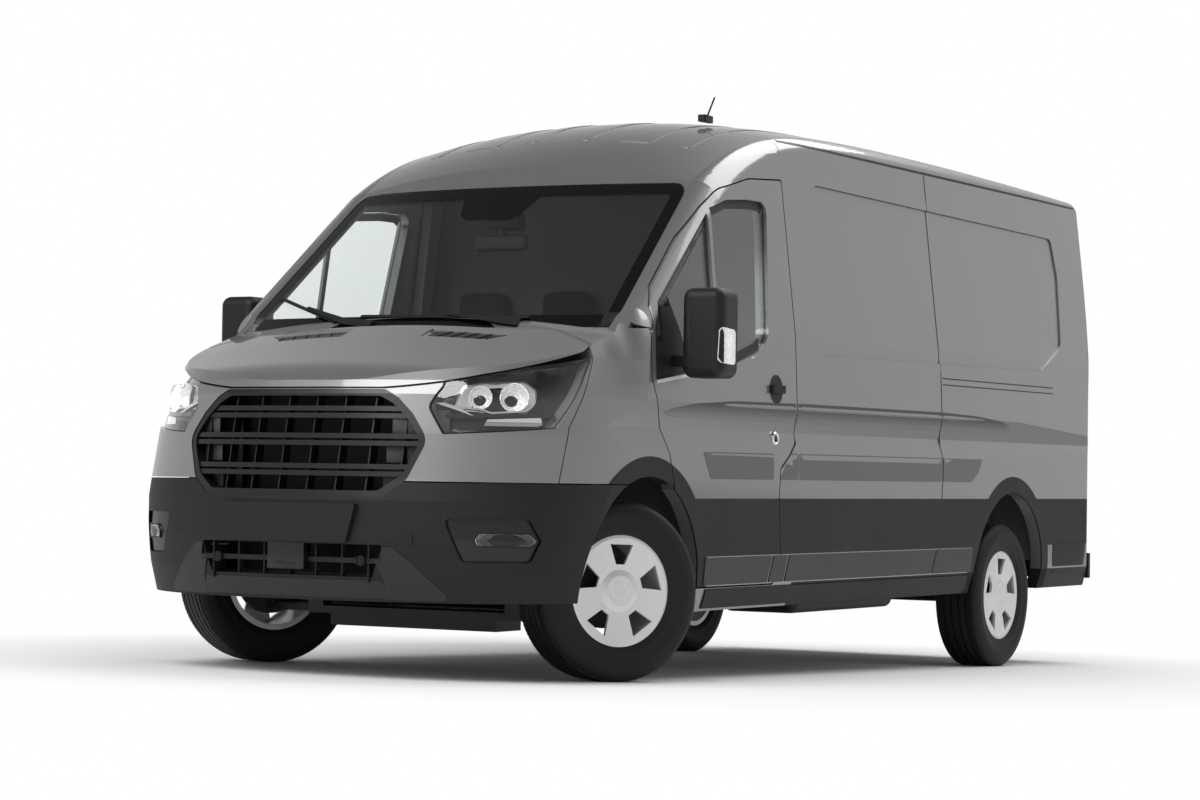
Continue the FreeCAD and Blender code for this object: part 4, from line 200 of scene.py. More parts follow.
# %% Glass and lenses
def clear_glass(name, colour, ior):
    """A thin wall that light goes straight through with a tint."""
    material, shader = start(name, "#000000", 0.0, IOR=ior)
    clear = add(material, "BsdfTransparent", {"Color": linear(colour)})
    both = add(material, "AddShader", {0: clear["BSDF"], 1: shader.outputs["BSDF"]})
    join(material, both["Shader"], material.node_tree.nodes["Material Output"].inputs["Surface"])
    return material


def red_lens():
    material, shader = start("red moulded lens", "#7c1013", 0.12, Coat_Weight=0.6)
    ribs = texture(material, "Wave", {"Scale": 28.0, "bands_direction": "Z"})
    bump(material, shader, ribs["Fac"], 0.5, 0.002)
    return material


# %% [markdown]
# Metals keep their default IOR and differ in roughness and in the marks of how they were made:
# cast iron is pitted, rolled steel is streaked, and a vacuum-coated reflector is a plain mirror.

# %% Metals, rubber and cloth
def cast_iron():
    material, shader = start("sand-cast iron", "#4a4846", 0.62, 0.8)
    grain(material, shader, 0.006, 0.001, 4.0, 0.5)
    cloud(material, shader, 0.12, "#4a4846", "#5a4c42", "Base Color")
    return material


def streaked_steel(name, colour, roughness):
    material, shader = start(name, colour, roughness, 1.0)
    grain(material, shader, 0.004, 0.0003, 2.0, 0.2)
    cloud(material, shader, 0.2, roughness - 0.08, roughness + 0.1)
    return material


def facetted_coat():
    """A lamp's reflector: cells 9 mm wide, each tilted its own way."""
    material, shader = start("facetted lamp reflector", "#f6f6f6", 0.2, 0.3)
    cells = texture(material, "Voronoi", {"Scale": 110.0})
    bump(material, shader, cells["Distance"], 0.7, 0.006)
    return material


def tyre_rubber():
    material, shader = start("vulcanised rubber", "#111112", 0.62, Specular_IOR_Level=0.35)
    grain(material, shader, 0.003, 0.0005, 3.0, 0.3)
    cloud(material, shader, 0.3, "#0f0f10", "#161617", "Base Color")
    return material


def woven_cloth():
    """Seat cloth: crossing threads 6 mm apart, wider than life so that they show."""
    material, shader = start("woven seat cloth", "#111112", 0.85, Sheen_Weight=0.05)
    across, along = [texture(material, "Wave", {"Scale": 52.0, "bands_direction": axis}) for axis in "XZ"]
    weave = add(material, "Math", {"operation": "MAXIMUM", 0: across["Fac"], 1: along["Fac"]})
    bump(material, shader, weave["Value"], 0.5, 0.001)
    return material


# %% [markdown]
# Every part of the frame names a slot, and every slot has one finish. The pieces added later are
# finished from the same set.

# %% Finishes by slot
PAINT = metallic_paint_and_shade()
CLADDING = grained_plastic("grained polypropylene", "#151515", 0.55)
TRIM = grained_plastic("grained ABS trim", "#141415", 0.5, 0.0015)
GLOSS_BLACK = smooth_plastic("gloss black ABS", "#0d0e0f", 0.22)
GRILLE_BLACK = smooth_plastic("satin black ABS", "#0e0e0f", 0.3)
LENS = clear_glass("moulded clear polycarbonate", "#fafafa", 1.58)
CLOTH = woven_cloth()
CHASSIS = smooth_plastic("black chassis paint", "#141414", 0.45)
SILVER = clouded("silver lacquered plastic", "#e6e6e6", 0.28, 0.35, 0.2, 0.28, 0.38, Coat_Weight=0.3)
RUBBER = tyre_rubber()
REFLECTOR = clouded("vacuum-coated reflector", "#e8eaec", 0.06, 1.0, 0.05, 0.04, 0.1)
FACETS = facetted_coat()

BY_SLOT = {
    "paint": PAINT, "cladding": CLADDING, "grille_plastic": GRILLE_BLACK, "trim": TRIM,
    "tank_plastic": TRIM, "seat_cloth": CLOTH, "chassis_black": CHASSIS, "wheel_silver": SILVER,
    "tyre_rubber": RUBBER, "lamp_clear": LENS, "lamp_red": red_lens(), "raw_iron": cast_iron(),
    "window": clear_glass("laminated window glass", "#f4f6f5", 1.52),
    "liner": smooth_plastic("satin grey paint", "#5e5e5e", 0.65),
    "core_aluminium": streaked_steel("brazed aluminium", "#2a2a2b", 0.5),
    "pipe_steel": streaked_steel("rolled steel", "#7a7671", 0.36),
}
slot_of = {part["node"]: part["material_slot"] for part in frame["record"]["subparts"]}
for node_name, node_object in frame["nodes"].items():
    for material_slot in node_object.material_slots:
        material_slot.material = BY_SLOT[slot_of[node_name]]
print(len(frame["nodes"]), "nodes finished")


# %% [markdown]
# The camera stands low beside the van's left front corner and looks slightly up, with a long lens.
# The photograph was solved for these values, so that every hub and panel joint falls in its place.

# %% Camera
CAMERA_PLACE = Vector((6.7323, -12.2878, 0.4964))
AZIMUTH, ELEVATION, ROLL = (math.radians(value) for value in (29.98, -3.02, 1.8))
back = Vector((math.sin(AZIMUTH) * math.cos(ELEVATION),
               -math.cos(AZIMUTH) * math.cos(ELEVATION), math.sin(ELEVATION)))
right = back.cross(Vector((0, 0, -1))).normalized()
level_turn = Matrix((right, back.cross(right), back)).transposed().to_4x4()
camera = bpy.data.objects.new("camera", bpy.data.cameras.new("camera"))
camera.matrix_world = (Matrix.Translation(CAMERA_PLACE) @ level_turn
                       @ Matrix.Rotation(ROLL, 4, "Z"))
camera.data.lens = 90.05
camera.data.sensor_width = 36.0
camera.data.shift_y = -0.0033
camera.data.clip_end = 200.0
scene.collection.objects.link(camera)
scene.camera = camera
scene.view_settings.view_transform = "Standard"


# %% [markdown]
# The van stands on a pale floor that keeps its shadow and fades to white further out. One broad
# soft lamp hangs above and behind it, and another lights its front from high up and far away.

# %% Floor and lamps
pale, shader = start("pale floor", "#f4f4f4", 0.9)
place = add(pale, "TexCoord")
oval = add(pale, "Mapping", {"Scale": (1 / 3.6, 1 / 5.2, 0), "Vector": place["Object"]})
ball = add(pale, "TexGradient", {"gradient_type": "SPHERICAL", "Vector": oval["Vector"]})
fade = add(pale, "MapRange", {"From Min": 0.04, "From Max": 0.46, "Value": ball["Fac"]})
ray = add(pale, "LightPath")
far = add(pale, "Math", {"operation": "SUBTRACT", 0: 1.0, 1: fade["Result"]})
share = add(pale, "Math", {"operation": "MULTIPLY", 0: far["Value"], 1: ray["Is Camera Ray"]})
white = add(pale, "Emission", {"Color": (1, 1, 1, 1), "Strength": 1.0})
mix = add(pale, "MixShader", {0: share["Value"], 1: shader.outputs["BSDF"], 2: white["Emission"]})
join(pale, mix["Shader"], pale.node_tree.nodes["Material Output"].inputs["Surface"])
floor_mesh = bpy.data.meshes.new("floor")
bm = bmesh.new()
bmesh.ops.create_circle(bm, cap_ends=True, segments=64, radius=40)
bm.to_mesh(floor_mesh)
floor_mesh.materials.append(pale)
floor = bpy.data.objects.new("floor", floor_mesh)
scene.collection.objects.link(floor)


def add_lamp(name, place, target, size, power):
    """A large soft lamp that looks at a point."""
    lamp = bpy.data.lights.new(name, "AREA")
    lamp.shape, lamp.size, lamp.energy = "DISK", size, power
    holder = bpy.data.objects.new(name, lamp)
    holder.location = place
    holder.rotation_euler = (Vector(target) - Vector(place)).to_track_quat("-Z", "Y").to_euler()
    scene.collection.objects.link(holder)


add_lamp("sky_lamp", (2.5, 4.6, 9.0), (0, -1, 1), 9.0, 640)
add_lamp("front_lamp", (-1.0, -9.0, 8.0), (0, -1.5, 1.5), 8.0, 820)
print("floor and lamps placed")

# %% [markdown]
# The room is white to the camera and through glass. To all else it is grey, and darkest overhead,
# so that the roof, bonnet and windscreen don't glare.

# %% World
world = bpy.data.worlds.new("studio")
world.use_nodes = True
scene.world = world
plain = world.node_tree.nodes["Background"]
plain.inputs["Color"].default_value = (1, 1, 1, 1)
place = add(world, "TexCoord")
height = add(world, "SeparateXYZ", {"Vector": place["Generated"]})
room = add(world, "MapRange", {"From Min": 0.2, "From Max": 0.75, "To Min": 0.64, "To Max": 0.12,
                               "Value": height["Z"]})
join(world, room["Result"], plain.inputs["Strength"])
white = add(world, "Background", {"Color": (1, 1, 1, 1)})
ray = add(world, "LightPath")
first = add(world, "Math", {"operation": "LESS_THAN", 0: ray["Diffuse Depth"], 1: 0.5})
through = add(world, "Math", {"operation": "MULTIPLY", 0: first["Value"], 1: ray["Is Transmission Ray"]})
either = add(world, "Math", {"operation": "MAXIMUM", 0: through["Value"], 1: ray["Is Camera Ray"]})
mix = add(world, "MixShader", {0: either["Value"], 1: plain.outputs["Background"], 2: white["Background"]})
join(world, mix["Shader"], world.node_tree.nodes["World Output"].inputs["Surface"])
print("room lit")


# %% [markdown]
# Small trim must follow the pressed panels. The trick is a search tree over a panel's triangles:
# each point of a flat outline is dropped on it along a straight line, like cloth on a form.

# %% Building helpers
def skin(*nodes):
    """A search tree over the nodes' surfaces, in the van's level axes."""
    points, faces = [], []
    for name in nodes:
        mesh = frame["nodes"][name].data
        first = len(points)
        points += [LEVEL @ vertex.co for vertex in mesh.vertices]
        faces += [[first + index for index in face.vertices] for face in mesh.polygons]
    return BVHTree.FromPolygons(points, faces)


def turned(bm, matrix):
    bmesh.ops.transform(bm, matrix=matrix, verts=bm.verts)


def finish_piece(bm, name, material, body="van_body", raked=True, smooth=30.0):
    """Turns a bmesh into a piece that rides on a body and takes a slot's finish."""
    mesh = bpy.data.meshes.new(name)
    if raked:
        turned(bm, BODY)
    bm.to_mesh(mesh)
    bm.free()
    mesh.materials.append(material)
    piece = bpy.data.objects.new(name, mesh)
    scene.collection.objects.link(piece)
    mesh.shade_smooth()
    mesh.set_sharp_from_angle(angle=math.radians(smooth))
    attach(piece, body)
    return piece


def outward(bm):
    bmesh.ops.recalc_face_normals(bm, faces=bm.faces)


def extruded(bm, offset):
    """Grows every face by an offset, and gives the points that moved."""
    grown = bmesh.ops.extrude_face_region(bm, geom=bm.faces[:])
    moved = [item for item in grown["geom"] if isinstance(item, bmesh.types.BMVert)]
    bmesh.ops.translate(bm, verts=moved, vec=offset)
    return moved


def slice_flat(bm, towards, pitch):
    """Cuts flat faces into a net, fine enough to bend."""
    for axis in range(3):
        if abs(towards[axis]) > 0.5:
            continue
        places = [vertex.co[axis] for vertex in bm.verts]
        low, high = min(places), max(places)
        normal = Vector([float(index == axis) for index in range(3)])
        steps = int((high - low) / pitch) + 1
        for step in range(1, steps):
            bmesh.ops.bisect_plane(bm, geom=bm.verts[:] + bm.edges[:] + bm.faces[:], plane_no=normal,
                                   plane_co=normal * (low + step * (high - low) / steps))


# An outline is drawn at most REACH from its panel, and a plate's back is SUNK in the panel's skin.
REACH, SUNK = 0.6, 0.0015


def laid(surface, outline, towards, thickness, pitch=0.06, radius=0.0, ring=0.0, lift=0.0):
    """A thin plate dropped on a surface; a ring width keeps only its border."""
    towards = Vector(towards).normalized()
    bm = bmesh.new()
    bm.faces.new([bm.verts.new(point) for point in outline])
    if radius:
        bmesh.ops.bevel(bm, geom=bm.verts[:], offset=radius, segments=4, profile=0.5, material=-1)
    if ring:
        border = bmesh.ops.inset_region(bm, faces=bm.faces[:], thickness=ring, use_even_offset=True,
                                        use_boundary=True)["faces"]
        bmesh.ops.delete(bm, geom=[face for face in bm.faces if face not in border], context="FACES")
    slice_flat(bm, towards, pitch)
    missed = []
    for vertex in bm.verts:
        place = surface.ray_cast(vertex.co - towards * REACH, towards, REACH * 2)[0]
        if place is None:
            missed.append(vertex)
        else:
            vertex.co = place - towards * (lift - SUNK)
    if missed:
        print(len(missed), "points met no surface")
        bmesh.ops.delete(bm, geom=missed, context="VERTS")
    bmesh.ops.reverse_faces(bm, faces=[face for face in bm.faces if face.normal.dot(towards) > 0])
    extruded(bm, -towards * (thickness + SUNK))
    outward(bm)
    return bm


def z_to(axis):
    """The turn from the Z axis to another."""
    return Vector((0, 0, 1)).rotation_difference(Vector(axis)).to_matrix().to_4x4()


def spun(profile, steps, centre=(0, 0, 0), axis=(0, 0, 1), closed=False):
    """A bmesh turned about an axis from (along, radius) points."""
    bm = bmesh.new()
    verts = [bm.verts.new((radius, 0, along)) for along, radius in profile]
    edges = [bm.edges.new(pair) for pair in zip(verts, verts[1:])]
    if closed:
        edges.append(bm.edges.new((verts[-1], verts[0])))
    bmesh.ops.spin(bm, geom=verts + edges, axis=(0, 0, 1), angle=math.tau, steps=steps, use_merge=True)
    bmesh.ops.remove_doubles(bm, verts=bm.verts, dist=1e-6)
    outward(bm)
    turned(bm, Matrix.Translation(centre) @ z_to(axis))
    return bm


def block(low, high, edge=0.0, segments=2):
    """A bmesh box between two corners, with soft edges."""
    bm = bmesh.new()
    bmesh.ops.create_cube(bm, size=1)
    low, high = Vector(low), Vector(high)
    bmesh.ops.scale(bm, vec=high - low, verts=bm.verts)
    bmesh.ops.translate(bm, vec=(low + high) / 2, verts=bm.verts)
    if edge:
        bmesh.ops.bevel(bm, geom=bm.edges[:], offset=edge, segments=segments, profile=0.5,
                        affect="EDGES", material=-1)
    return bm


def merged(*meshes):
    """One bmesh from several."""
    whole = bmesh.new()
    for part in meshes:
        store = bpy.data.meshes.new("store")
        part.to_mesh(store)
        part.free()
        whole.from_mesh(store)
        bpy.data.meshes.remove(store)
    return whole


# %% [markdown]
# A tyre is a ring with a tread cut into it. Half the profile is written down, its mirror image is
# added, and one spin makes the ring. The shoulder blocks are raised by insetting each face on its
# own, which leaves a thin slot between neighbours.

# %% Tyres
SIDEWALL = [(0.088, 0.206), (0.099, 0.224), (0.1065, 0.243), (0.1085, 0.2445), (0.1092, 0.25),
            (0.109, 0.255), (0.113, 0.275), (0.117, 0.292), (0.1172, 0.306), (0.1165, 0.308),
            (0.115, 0.312), (0.1135, 0.324), (0.109, 0.335), (0.103, 0.344), (0.096, 0.35)]
TREAD = [(0.0915, 0.3515), (0.062, 0.351), (0.061, 0.3465), (0.053, 0.3465), (0.052, 0.356),
         (0.024, 0.356), (0.023, 0.3465), (0.015, 0.3465), (0.014, 0.356)]


def raised_blocks(bm, low, high, rise, gap):
    """Raises each face whose radius and place across the tread lie in a band."""
    chosen = [face for face in bm.faces if all(
        low - 1e-4 <= abs(vertex.co.z) <= high + 1e-4 and math.hypot(vertex.co.x, vertex.co.y) > 0.345
        for vertex in face.verts)]
    bmesh.ops.inset_individual(bm, faces=chosen, thickness=gap, depth=rise, use_even_offset=True)


def on_wheel(bm, name, corner, material):
    """Sets a piece that was drawn about Z, outer side first, on its wheel."""
    joint = joints["roll_" + corner]
    axis = Vector(joint["axis"]).normalized()
    if (axis.x > 0) != corner.endswith("left"):
        axis = -axis
    turned(bm, Matrix.Translation(joint["pos_m"]) @ z_to(axis))
    return finish_piece(bm, name + "_" + corner, material, corner + "_wheel", raked=False)


def make_tyre(corner):
    half = SIDEWALL + TREAD
    bm = spun(half + [(-along, radius) for along, radius in reversed(half)], 120, closed=True)
    raised_blocks(bm, low=0.0619, high=0.0916, rise=0.0045, gap=0.0016)
    tyre = on_wheel(bm, "tyre_tread", corner, RUBBER)
    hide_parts("tyre_" + corner)
    return len(tyre.data.polygons)


CORNERS = ("front_left", "front_right", "rear_left", "rear_right")
print("faces in each tyre", [make_tyre(corner) for corner in CORNERS])

# %% [markdown]
# The wheel cover is one silver moulding. Its cap is a black dome in a thin bright ring, and slots
# let the brake breathe. Each is drawn once and set on each hub.

# %% Centre caps and slots
CAP = [(0.09, 0.0), (0.0955, 0.0), (0.0965, 0.012), (0.0955, 0.026), (0.0925, 0.031), (0.09, 0.031)]
CAP_RING = [(0.089, 0.031), (0.0965, 0.031), (0.0975, 0.033), (0.0965, 0.036), (0.089, 0.036)]
SLOT_COUNT = 5


def make_cap(corner):
    on_wheel(spun(CAP, 40), "centre_cap", corner, GLOSS_BLACK)
    on_wheel(spun(CAP_RING, 40, closed=True), "cap_ring", corner, REFLECTOR)
    slots = []
    for index in range(SLOT_COUNT):
        slot = block((-0.011, 0.066, 0.08), (0.011, 0.075, 0.0892), 0.002)
        turned(slot, Matrix.Rotation(math.tau * (index + 0.5) / SLOT_COUNT, 4, "Z"))
        slots.append(slot)
    on_wheel(merged(*slots), "cover_slots", corner, GLOSS_BLACK)


for wheel_corner in CORNERS:
    make_cap(wheel_corner)
print("caps on", len(CORNERS), "wheels")


# %% [markdown]
# Trim comes in pairs. A left piece is drawn, and its twin is scaled by minus one across the van,
# which turns its faces inside out, so they are reversed. A pair on two doors rides on each.

# %% Pairs
def twin(bm):
    """The same shape for the van's other side."""
    other = bm.copy()
    bmesh.ops.scale(other, vec=(-1, 1, 1), verts=other.verts)
    bmesh.ops.reverse_faces(other, faces=other.faces[:])
    return other


def finish_pair(bm, name, material, body="van_body", smooth=30.0):
    """Finishes a left piece with its twin, on one body or on one for each side."""
    other = twin(bm)
    if "SIDE" not in body:
        return [finish_piece(merged(bm, other), name, material, body, smooth=smooth)]
    return [finish_piece(shape, name + "_" + side, material, body.replace("SIDE", side), smooth=smooth)
            for side, shape in (("left", bm), ("right", other))]


def on_side(points, x=1.0):
    """Points of an outline given as (along the van, up)."""
    return [(x, y, z) for y, z in points]


def on_end(points, y=-2.9):
    """Points of an outline given as (across the van, up), in front unless told otherwise."""
    return [(x, y, z) for x, z in points]


def on_top(points, z):
    """Points of an outline given as (across the van, along it)."""
    return [(x, y, z) for x, y in points]


def rectangle(low, high):
    """Four corners, from an outline's lowest one to its highest."""
    return [low, (high[0], low[1]), high, (low[0], high[1])]


INWARD, REARWARD, DOWNWARD, FORWARD = (-1, 0, 0), (0, 1, 0), (0, 0, -1), (0, -1, 0)
SIDE_SKIN = skin("front_door_left", "side_panel_left", "side_cladding_left", "front_wings",
                 "door_cladding_left", "cab_frame")
DOOR_BODY = "front_door_SIDE_leaf"

# %% [markdown]
# Below the belt the pressed side has a long hollow and a broad strip, cut by the door joints. Both
# hold painted shade: darker grey plates stand for the shadow under the crease and the strip's shade.
# Under the cladding, grey plastic plates stand for the sill's painted shade, over a black step. Each
# is a thin plate laid on the side, in one part for each panel, so that doors carry their own.

# %% Side strips, hollow and sills in painted shade
# Painted shade: the strip's grey stands for the side paint in shade, not a different part.
STRIP_SHADE_PAINT = clouded("painted strip shade grey paint", "#5d5e5f", 0.42, 0.35, 0.7, 0.38, 0.48, Coat_Weight=0.3)
# Painted shade: grey grained plates stand for the sill's paint in shade below the cladding.
SILL_SHADE_GREY = grained_plastic("grained grey plastic for sill shade", "#3e3e3e", 0.5, 0.0016)


def painted_crease_shadow():
    """Painted shadow under the crease: dark at its top edge and the van's own grey at its foot."""
    material, shader = start("painted crease shadow grey", VAN_GREY, 0.38, 0.5)
    place = add(material, "TexCoord")
    axes = add(material, "SeparateXYZ", {"Vector": place["Object"]})
    tilt = add(material, "Math", {"operation": "MULTIPLY", 1: math.tan(RAKE), 0: axes["Y"]})
    level = add(material, "Math", {"operation": "SUBTRACT", 0: axes["Z"], 1: tilt["Value"]})
    share = add(material, "MapRange", {"From Min": 1.118, "From Max": 1.168, "Value": level["Value"]})
    colour = blended(material, VAN_GREY, "#4e4e4e", share["Result"])
    join(material, colour, shader.inputs["Base Color"])
    return material


CREASE_SHADOW_PAINT = painted_crease_shadow()


def side_row(name, parts, thickness, material, radius=0.0, pitch=0.08):
    for index, (body, points) in enumerate(parts):
        bm = laid(SIDE_SKIN, on_side(points), INWARD, thickness, pitch, radius)
        finish_pair(bm, "%s_%d" % (name, index + 1), material, body)
    print(name, len(parts), "plates a side")


# Painted shade: these plates are darker than the paint around them.
side_row("side_strip_painted_shade", [
    (DOOR_BODY, [(-1.542, 0.912), (-1.475, 0.802), (-0.855, 0.802), (-0.8, 0.862), (-0.742, 0.913)]),
    ("van_body", [(-0.842, 0.802), (-0.668, 0.802), (-0.664, 0.915), (-0.735, 0.915), (-0.79, 0.862)]),
    ("van_body", rectangle((-0.656, 0.802), (0.881, 0.915))),
    ("van_body", [(0.893, 0.802), (1.238, 0.802), (1.33, 0.85), (1.372, 0.913), (0.893, 0.915)]),
], 0.0012, STRIP_SHADE_PAINT, 0.008)
# Painted shadow: these plates darken towards the crease above them.
side_row("side_hollow_painted_shadow", [
    (DOOR_BODY, [(-1.86, 1.062), (-1.79, 1.046), (-0.682, 1.046), (-0.682, 1.13), (-1.25, 1.125),
                 (-1.6, 1.105), (-1.79, 1.08)]),
    ("van_body", [(-0.66, 1.046), (0.881, 1.046), (0.881, 1.132), (-0.66, 1.131)]),
    ("van_body", [(0.893, 1.046), (1.56, 1.046), (1.69, 1.062), (1.74, 1.082), (1.64, 1.104),
                  (1.3, 1.124), (0.893, 1.132)]),
], 0.0012, CREASE_SHADOW_PAINT, 0.006)
# Painted shade: grey plates over the sill, darker than the paint they cover.
side_row("sill_painted_shade", [
    (DOOR_BODY, [(-1.535, 0.368), (-0.915, 0.368), (-0.88, 0.48), (-1.56, 0.48)]),
    ("van_body", [(-0.895, 0.368), (-0.76, 0.368), (-0.735, 0.48), (-0.862, 0.48)]),
    ("van_body", [(-0.742, 0.368), (0.805, 0.368), (0.838, 0.48), (-0.715, 0.48)]),
    ("van_body", [(0.822, 0.368), (1.33, 0.368), (1.372, 0.48), (0.855, 0.48)]),
], 0.004, SILL_SHADE_GREY, 0.004)
side_row("corner_cover", [
    ("van_body", [(2.384, 0.336), (2.895, 0.336), (2.895, 0.488), (2.352, 0.488)]),
], 0.003, CLADDING, 0.004)
side_row("sill_step", [
    ("van_body", [(-1.52, 0.272), (1.3, 0.272), (1.34, 0.35), (-1.535, 0.35)]),
], 0.006, CLADDING, 0.004)

# %% [markdown]
# Dark lines part the panels: the roof gutter, the joint behind the load door and the door's rail.
# Each is a narrow rubber strip laid on the skin, so that it follows the panel's curve.

# %% Gutter, joint and rail
SEAL = smooth_plastic("black extruded rubber", "#0a0a0a", 0.5)
UPPER_SKIN = skin("load_roof", "side_panel_left")
gutter = rectangle((-0.64, 2.268), (2.88, 2.279))
joint = rectangle((0.883, 0.492), (0.8895, 2.262))
rail_edges = [rectangle((0.905, low), (2.325, low + 0.005)) for low in (1.262, 1.292)]
lines = [laid(UPPER_SKIN, on_side(outline), INWARD, 0.0012) for outline in (gutter, joint, *rail_edges)]
finish_pair(merged(*lines), "panel_lines", SEAL)

# %% [markdown]
# The windscreen is glued in behind a black fired-on border, which keeps the sun off the glue. The
# patch at the top hides a camera. The cab mirror hangs from the camera's housing.

# %% Windscreen border, sensor patch and mirror
GLASS_SKIN = skin("windscreen")
FRIT = smooth_plastic("black fired enamel", "#040404", 0.14)
screen_edge = [(-0.893, 1.397), (0.893, 1.397), (0.813, 2.029), (-0.813, 2.029)]
finish_piece(laid(GLASS_SKIN, on_end(screen_edge, -1.9), REARWARD, 0.0008, 0.07, 0.06, 0.048),
             "screen_border", FRIT)
patch = [(-0.21, 2.02), (0.21, 2.02), (0.15, 1.905), (0.105, 1.88), (-0.105, 1.88), (-0.15, 1.905)]
finish_piece(laid(GLASS_SKIN, on_end(patch, -1.5), REARWARD, 0.001, 0.05, 0.01),
             "sensor_patch", FRIT)
housing = block((-0.075, -1.475, 1.845), (0.075, -1.375, 1.925), 0.02, 4)
stem = block((-0.012, -1.47, 1.8), (0.012, -1.445, 1.86), 0.006)
head = block((-0.125, -1.48, 1.755), (0.125, -1.44, 1.825), 0.016, 4)
finish_piece(merged(housing, stem, head), "cab_mirror", TRIM)
print("windscreen border, patch and mirror placed")

# %% [markdown]
# Each wiper is an arm from a spindle in the cowl and a long blade that follows the glass. Both are
# narrow tapered plates, laid on the glass one above the other.

# %% Wipers
def bar_outline(first, last, wide, narrow):
    """A long four-sided outline between two points, seen from the front."""
    (x, z), (u, w) = first, last
    length = math.hypot(u - x, w - z)
    across, up = (z - w) / length / 2, (u - x) / length / 2
    corners = ((first, wide), (last, narrow), (last, -narrow), (first, -wide))
    return on_end([(x + across * width, z + up * width) for (x, z), width in corners], -2.0)


wiper_parts = []
for spindle, elbow, tip, blade_start, blade_end in (
        ((-0.18, 1.412), (-0.34, 1.428), (-0.6, 1.492), (-0.835, 1.545), (-0.385, 1.425)),
        ((0.56, 1.408), (0.4, 1.425), (0.15, 1.455), (-0.27, 1.448), (0.53, 1.436))):
    for first, last, wide, narrow, thickness, lift in (
            (blade_start, blade_end, 0.011, 0.011, 0.012, 0.003),
            (spindle, elbow, 0.032, 0.024, 0.012, 0.016),
            (elbow, tip, 0.022, 0.01, 0.008, 0.016)):
        bar = bar_outline(first, last, wide, narrow)
        wiper_parts.append(laid(GLASS_SKIN, bar, REARWARD, thickness, 0.08, lift=lift))
finish_piece(merged(*wiper_parts), "wipers", TRIM)
print("wiper plates", len(wiper_parts))

# %% [markdown]
# The door glass runs in a black rubber seal, and a bright moulding closes the window's sill. A
# black corner carries the mirror's foot.

# %% Door seals, mirror foot and moulding
PANE_SKIN = skin("door_glass_left")
DOOR_SKIN = skin("front_door_left")
WINDOW_LOW, WINDOW_TALL, WINDOW_FRONT, WINDOW_LONG = 1.178, 0.804, -1.936, 1.092
WINDOW_POINTS = [(0.012, 0.017), (0.653, 0.134), (0.827, 0.2), (0.918, 0.27), (0.995, 0.52), (1.0, 0.965),
                 (0.964, 1.0), (0.847, 1.0), (0.661, 0.978), (0.53, 0.923), (0.063, 0.405), (0.012, 0.28)]
window = [(WINDOW_FRONT + along * WINDOW_LONG, WINDOW_LOW + up * WINDOW_TALL) for along, up in WINDOW_POINTS]
finish_pair(laid(PANE_SKIN, on_side(window), INWARD, 0.0012, 0.08, 0.012, 0.036),
            "window_seal", SEAL, DOOR_BODY)
foot = [(-1.915, 1.2), (-1.64, 1.232), (-1.64, 1.3), (-1.8, 1.56), (-1.893, 1.56), (-1.918, 1.43)]
finish_pair(laid(PANE_SKIN, on_side(foot), INWARD, 0.004, 0.08, 0.01),
            "mirror_foot", TRIM, DOOR_BODY)
moulding = [(-1.92, 1.176), (-1.23, 1.268), (-1.04, 1.322), (-0.945, 1.376), (-0.951, 1.386), (-1.045, 1.334),
            (-1.236, 1.281), (-1.92, 1.19)]
finish_pair(laid(DOOR_SKIN, on_side(moulding), INWARD, 0.002, 0.08),
            "window_moulding", SILVER, DOOR_BODY)
print("seals, mirror feet and mouldings laid")

# %% [markdown]
# A pull handle needs room for fingers: a round dark cup is pressed in the skin behind it. The lock
# below is a bright turned ring round a dark core.

# %% Handle cups and locks
def circle(across, up, radius, steps):
    """Points of a round outline."""
    turns = [math.tau * index / steps for index in range(steps)]
    return [(across + radius * math.cos(turn), up + radius * math.sin(turn)) for turn in turns]


cup = laid(DOOR_SKIN, on_side(circle(-0.87, 1.186, 0.062, 32)), INWARD, 0.001, 0.2)
finish_pair(cup, "handle_cup", TRIM, DOOR_BODY)
LOCK_PLACE, OUTWARD = (1.0125, -0.864, 0.976), (1, 0, 0)
ring_profile = [(-0.004, 0.016), (0.004, 0.016), (0.007, 0.02), (0.007, 0.026), (0.003, 0.03), (-0.004, 0.03)]
finish_pair(spun(ring_profile, 32, LOCK_PLACE, OUTWARD, True),
            "lock_ring", REFLECTOR, DOOR_BODY)
core_profile = [(-0.004, 0.0), (0.003, 0.0), (0.004, 0.006), (0.003, 0.016), (-0.004, 0.016)]
finish_pair(spun(core_profile, 32, LOCK_PLACE, OUTWARD), "lock_core", TRIM, DOOR_BODY)
print("handle cups and locks made")

# %% [markdown]
# Each mirror head holds a glass and, low on its outer front corner, a clear lamp that repeats the
# indicator, with a bright plate for its bowl. The head's outer side is drawn in by 2 mm, so that
# this lens stays inside the van's widest place.

# %% Mirror glass and indicator
def node_mesh(node):
    """A merged copy of a node's mesh in the van's level axes."""
    bm = bmesh.new()
    bm.from_mesh(frame["nodes"][node].data)
    turned(bm, LEVEL)
    bmesh.ops.remove_doubles(bm, verts=bm.verts, dist=2e-5)
    return bm


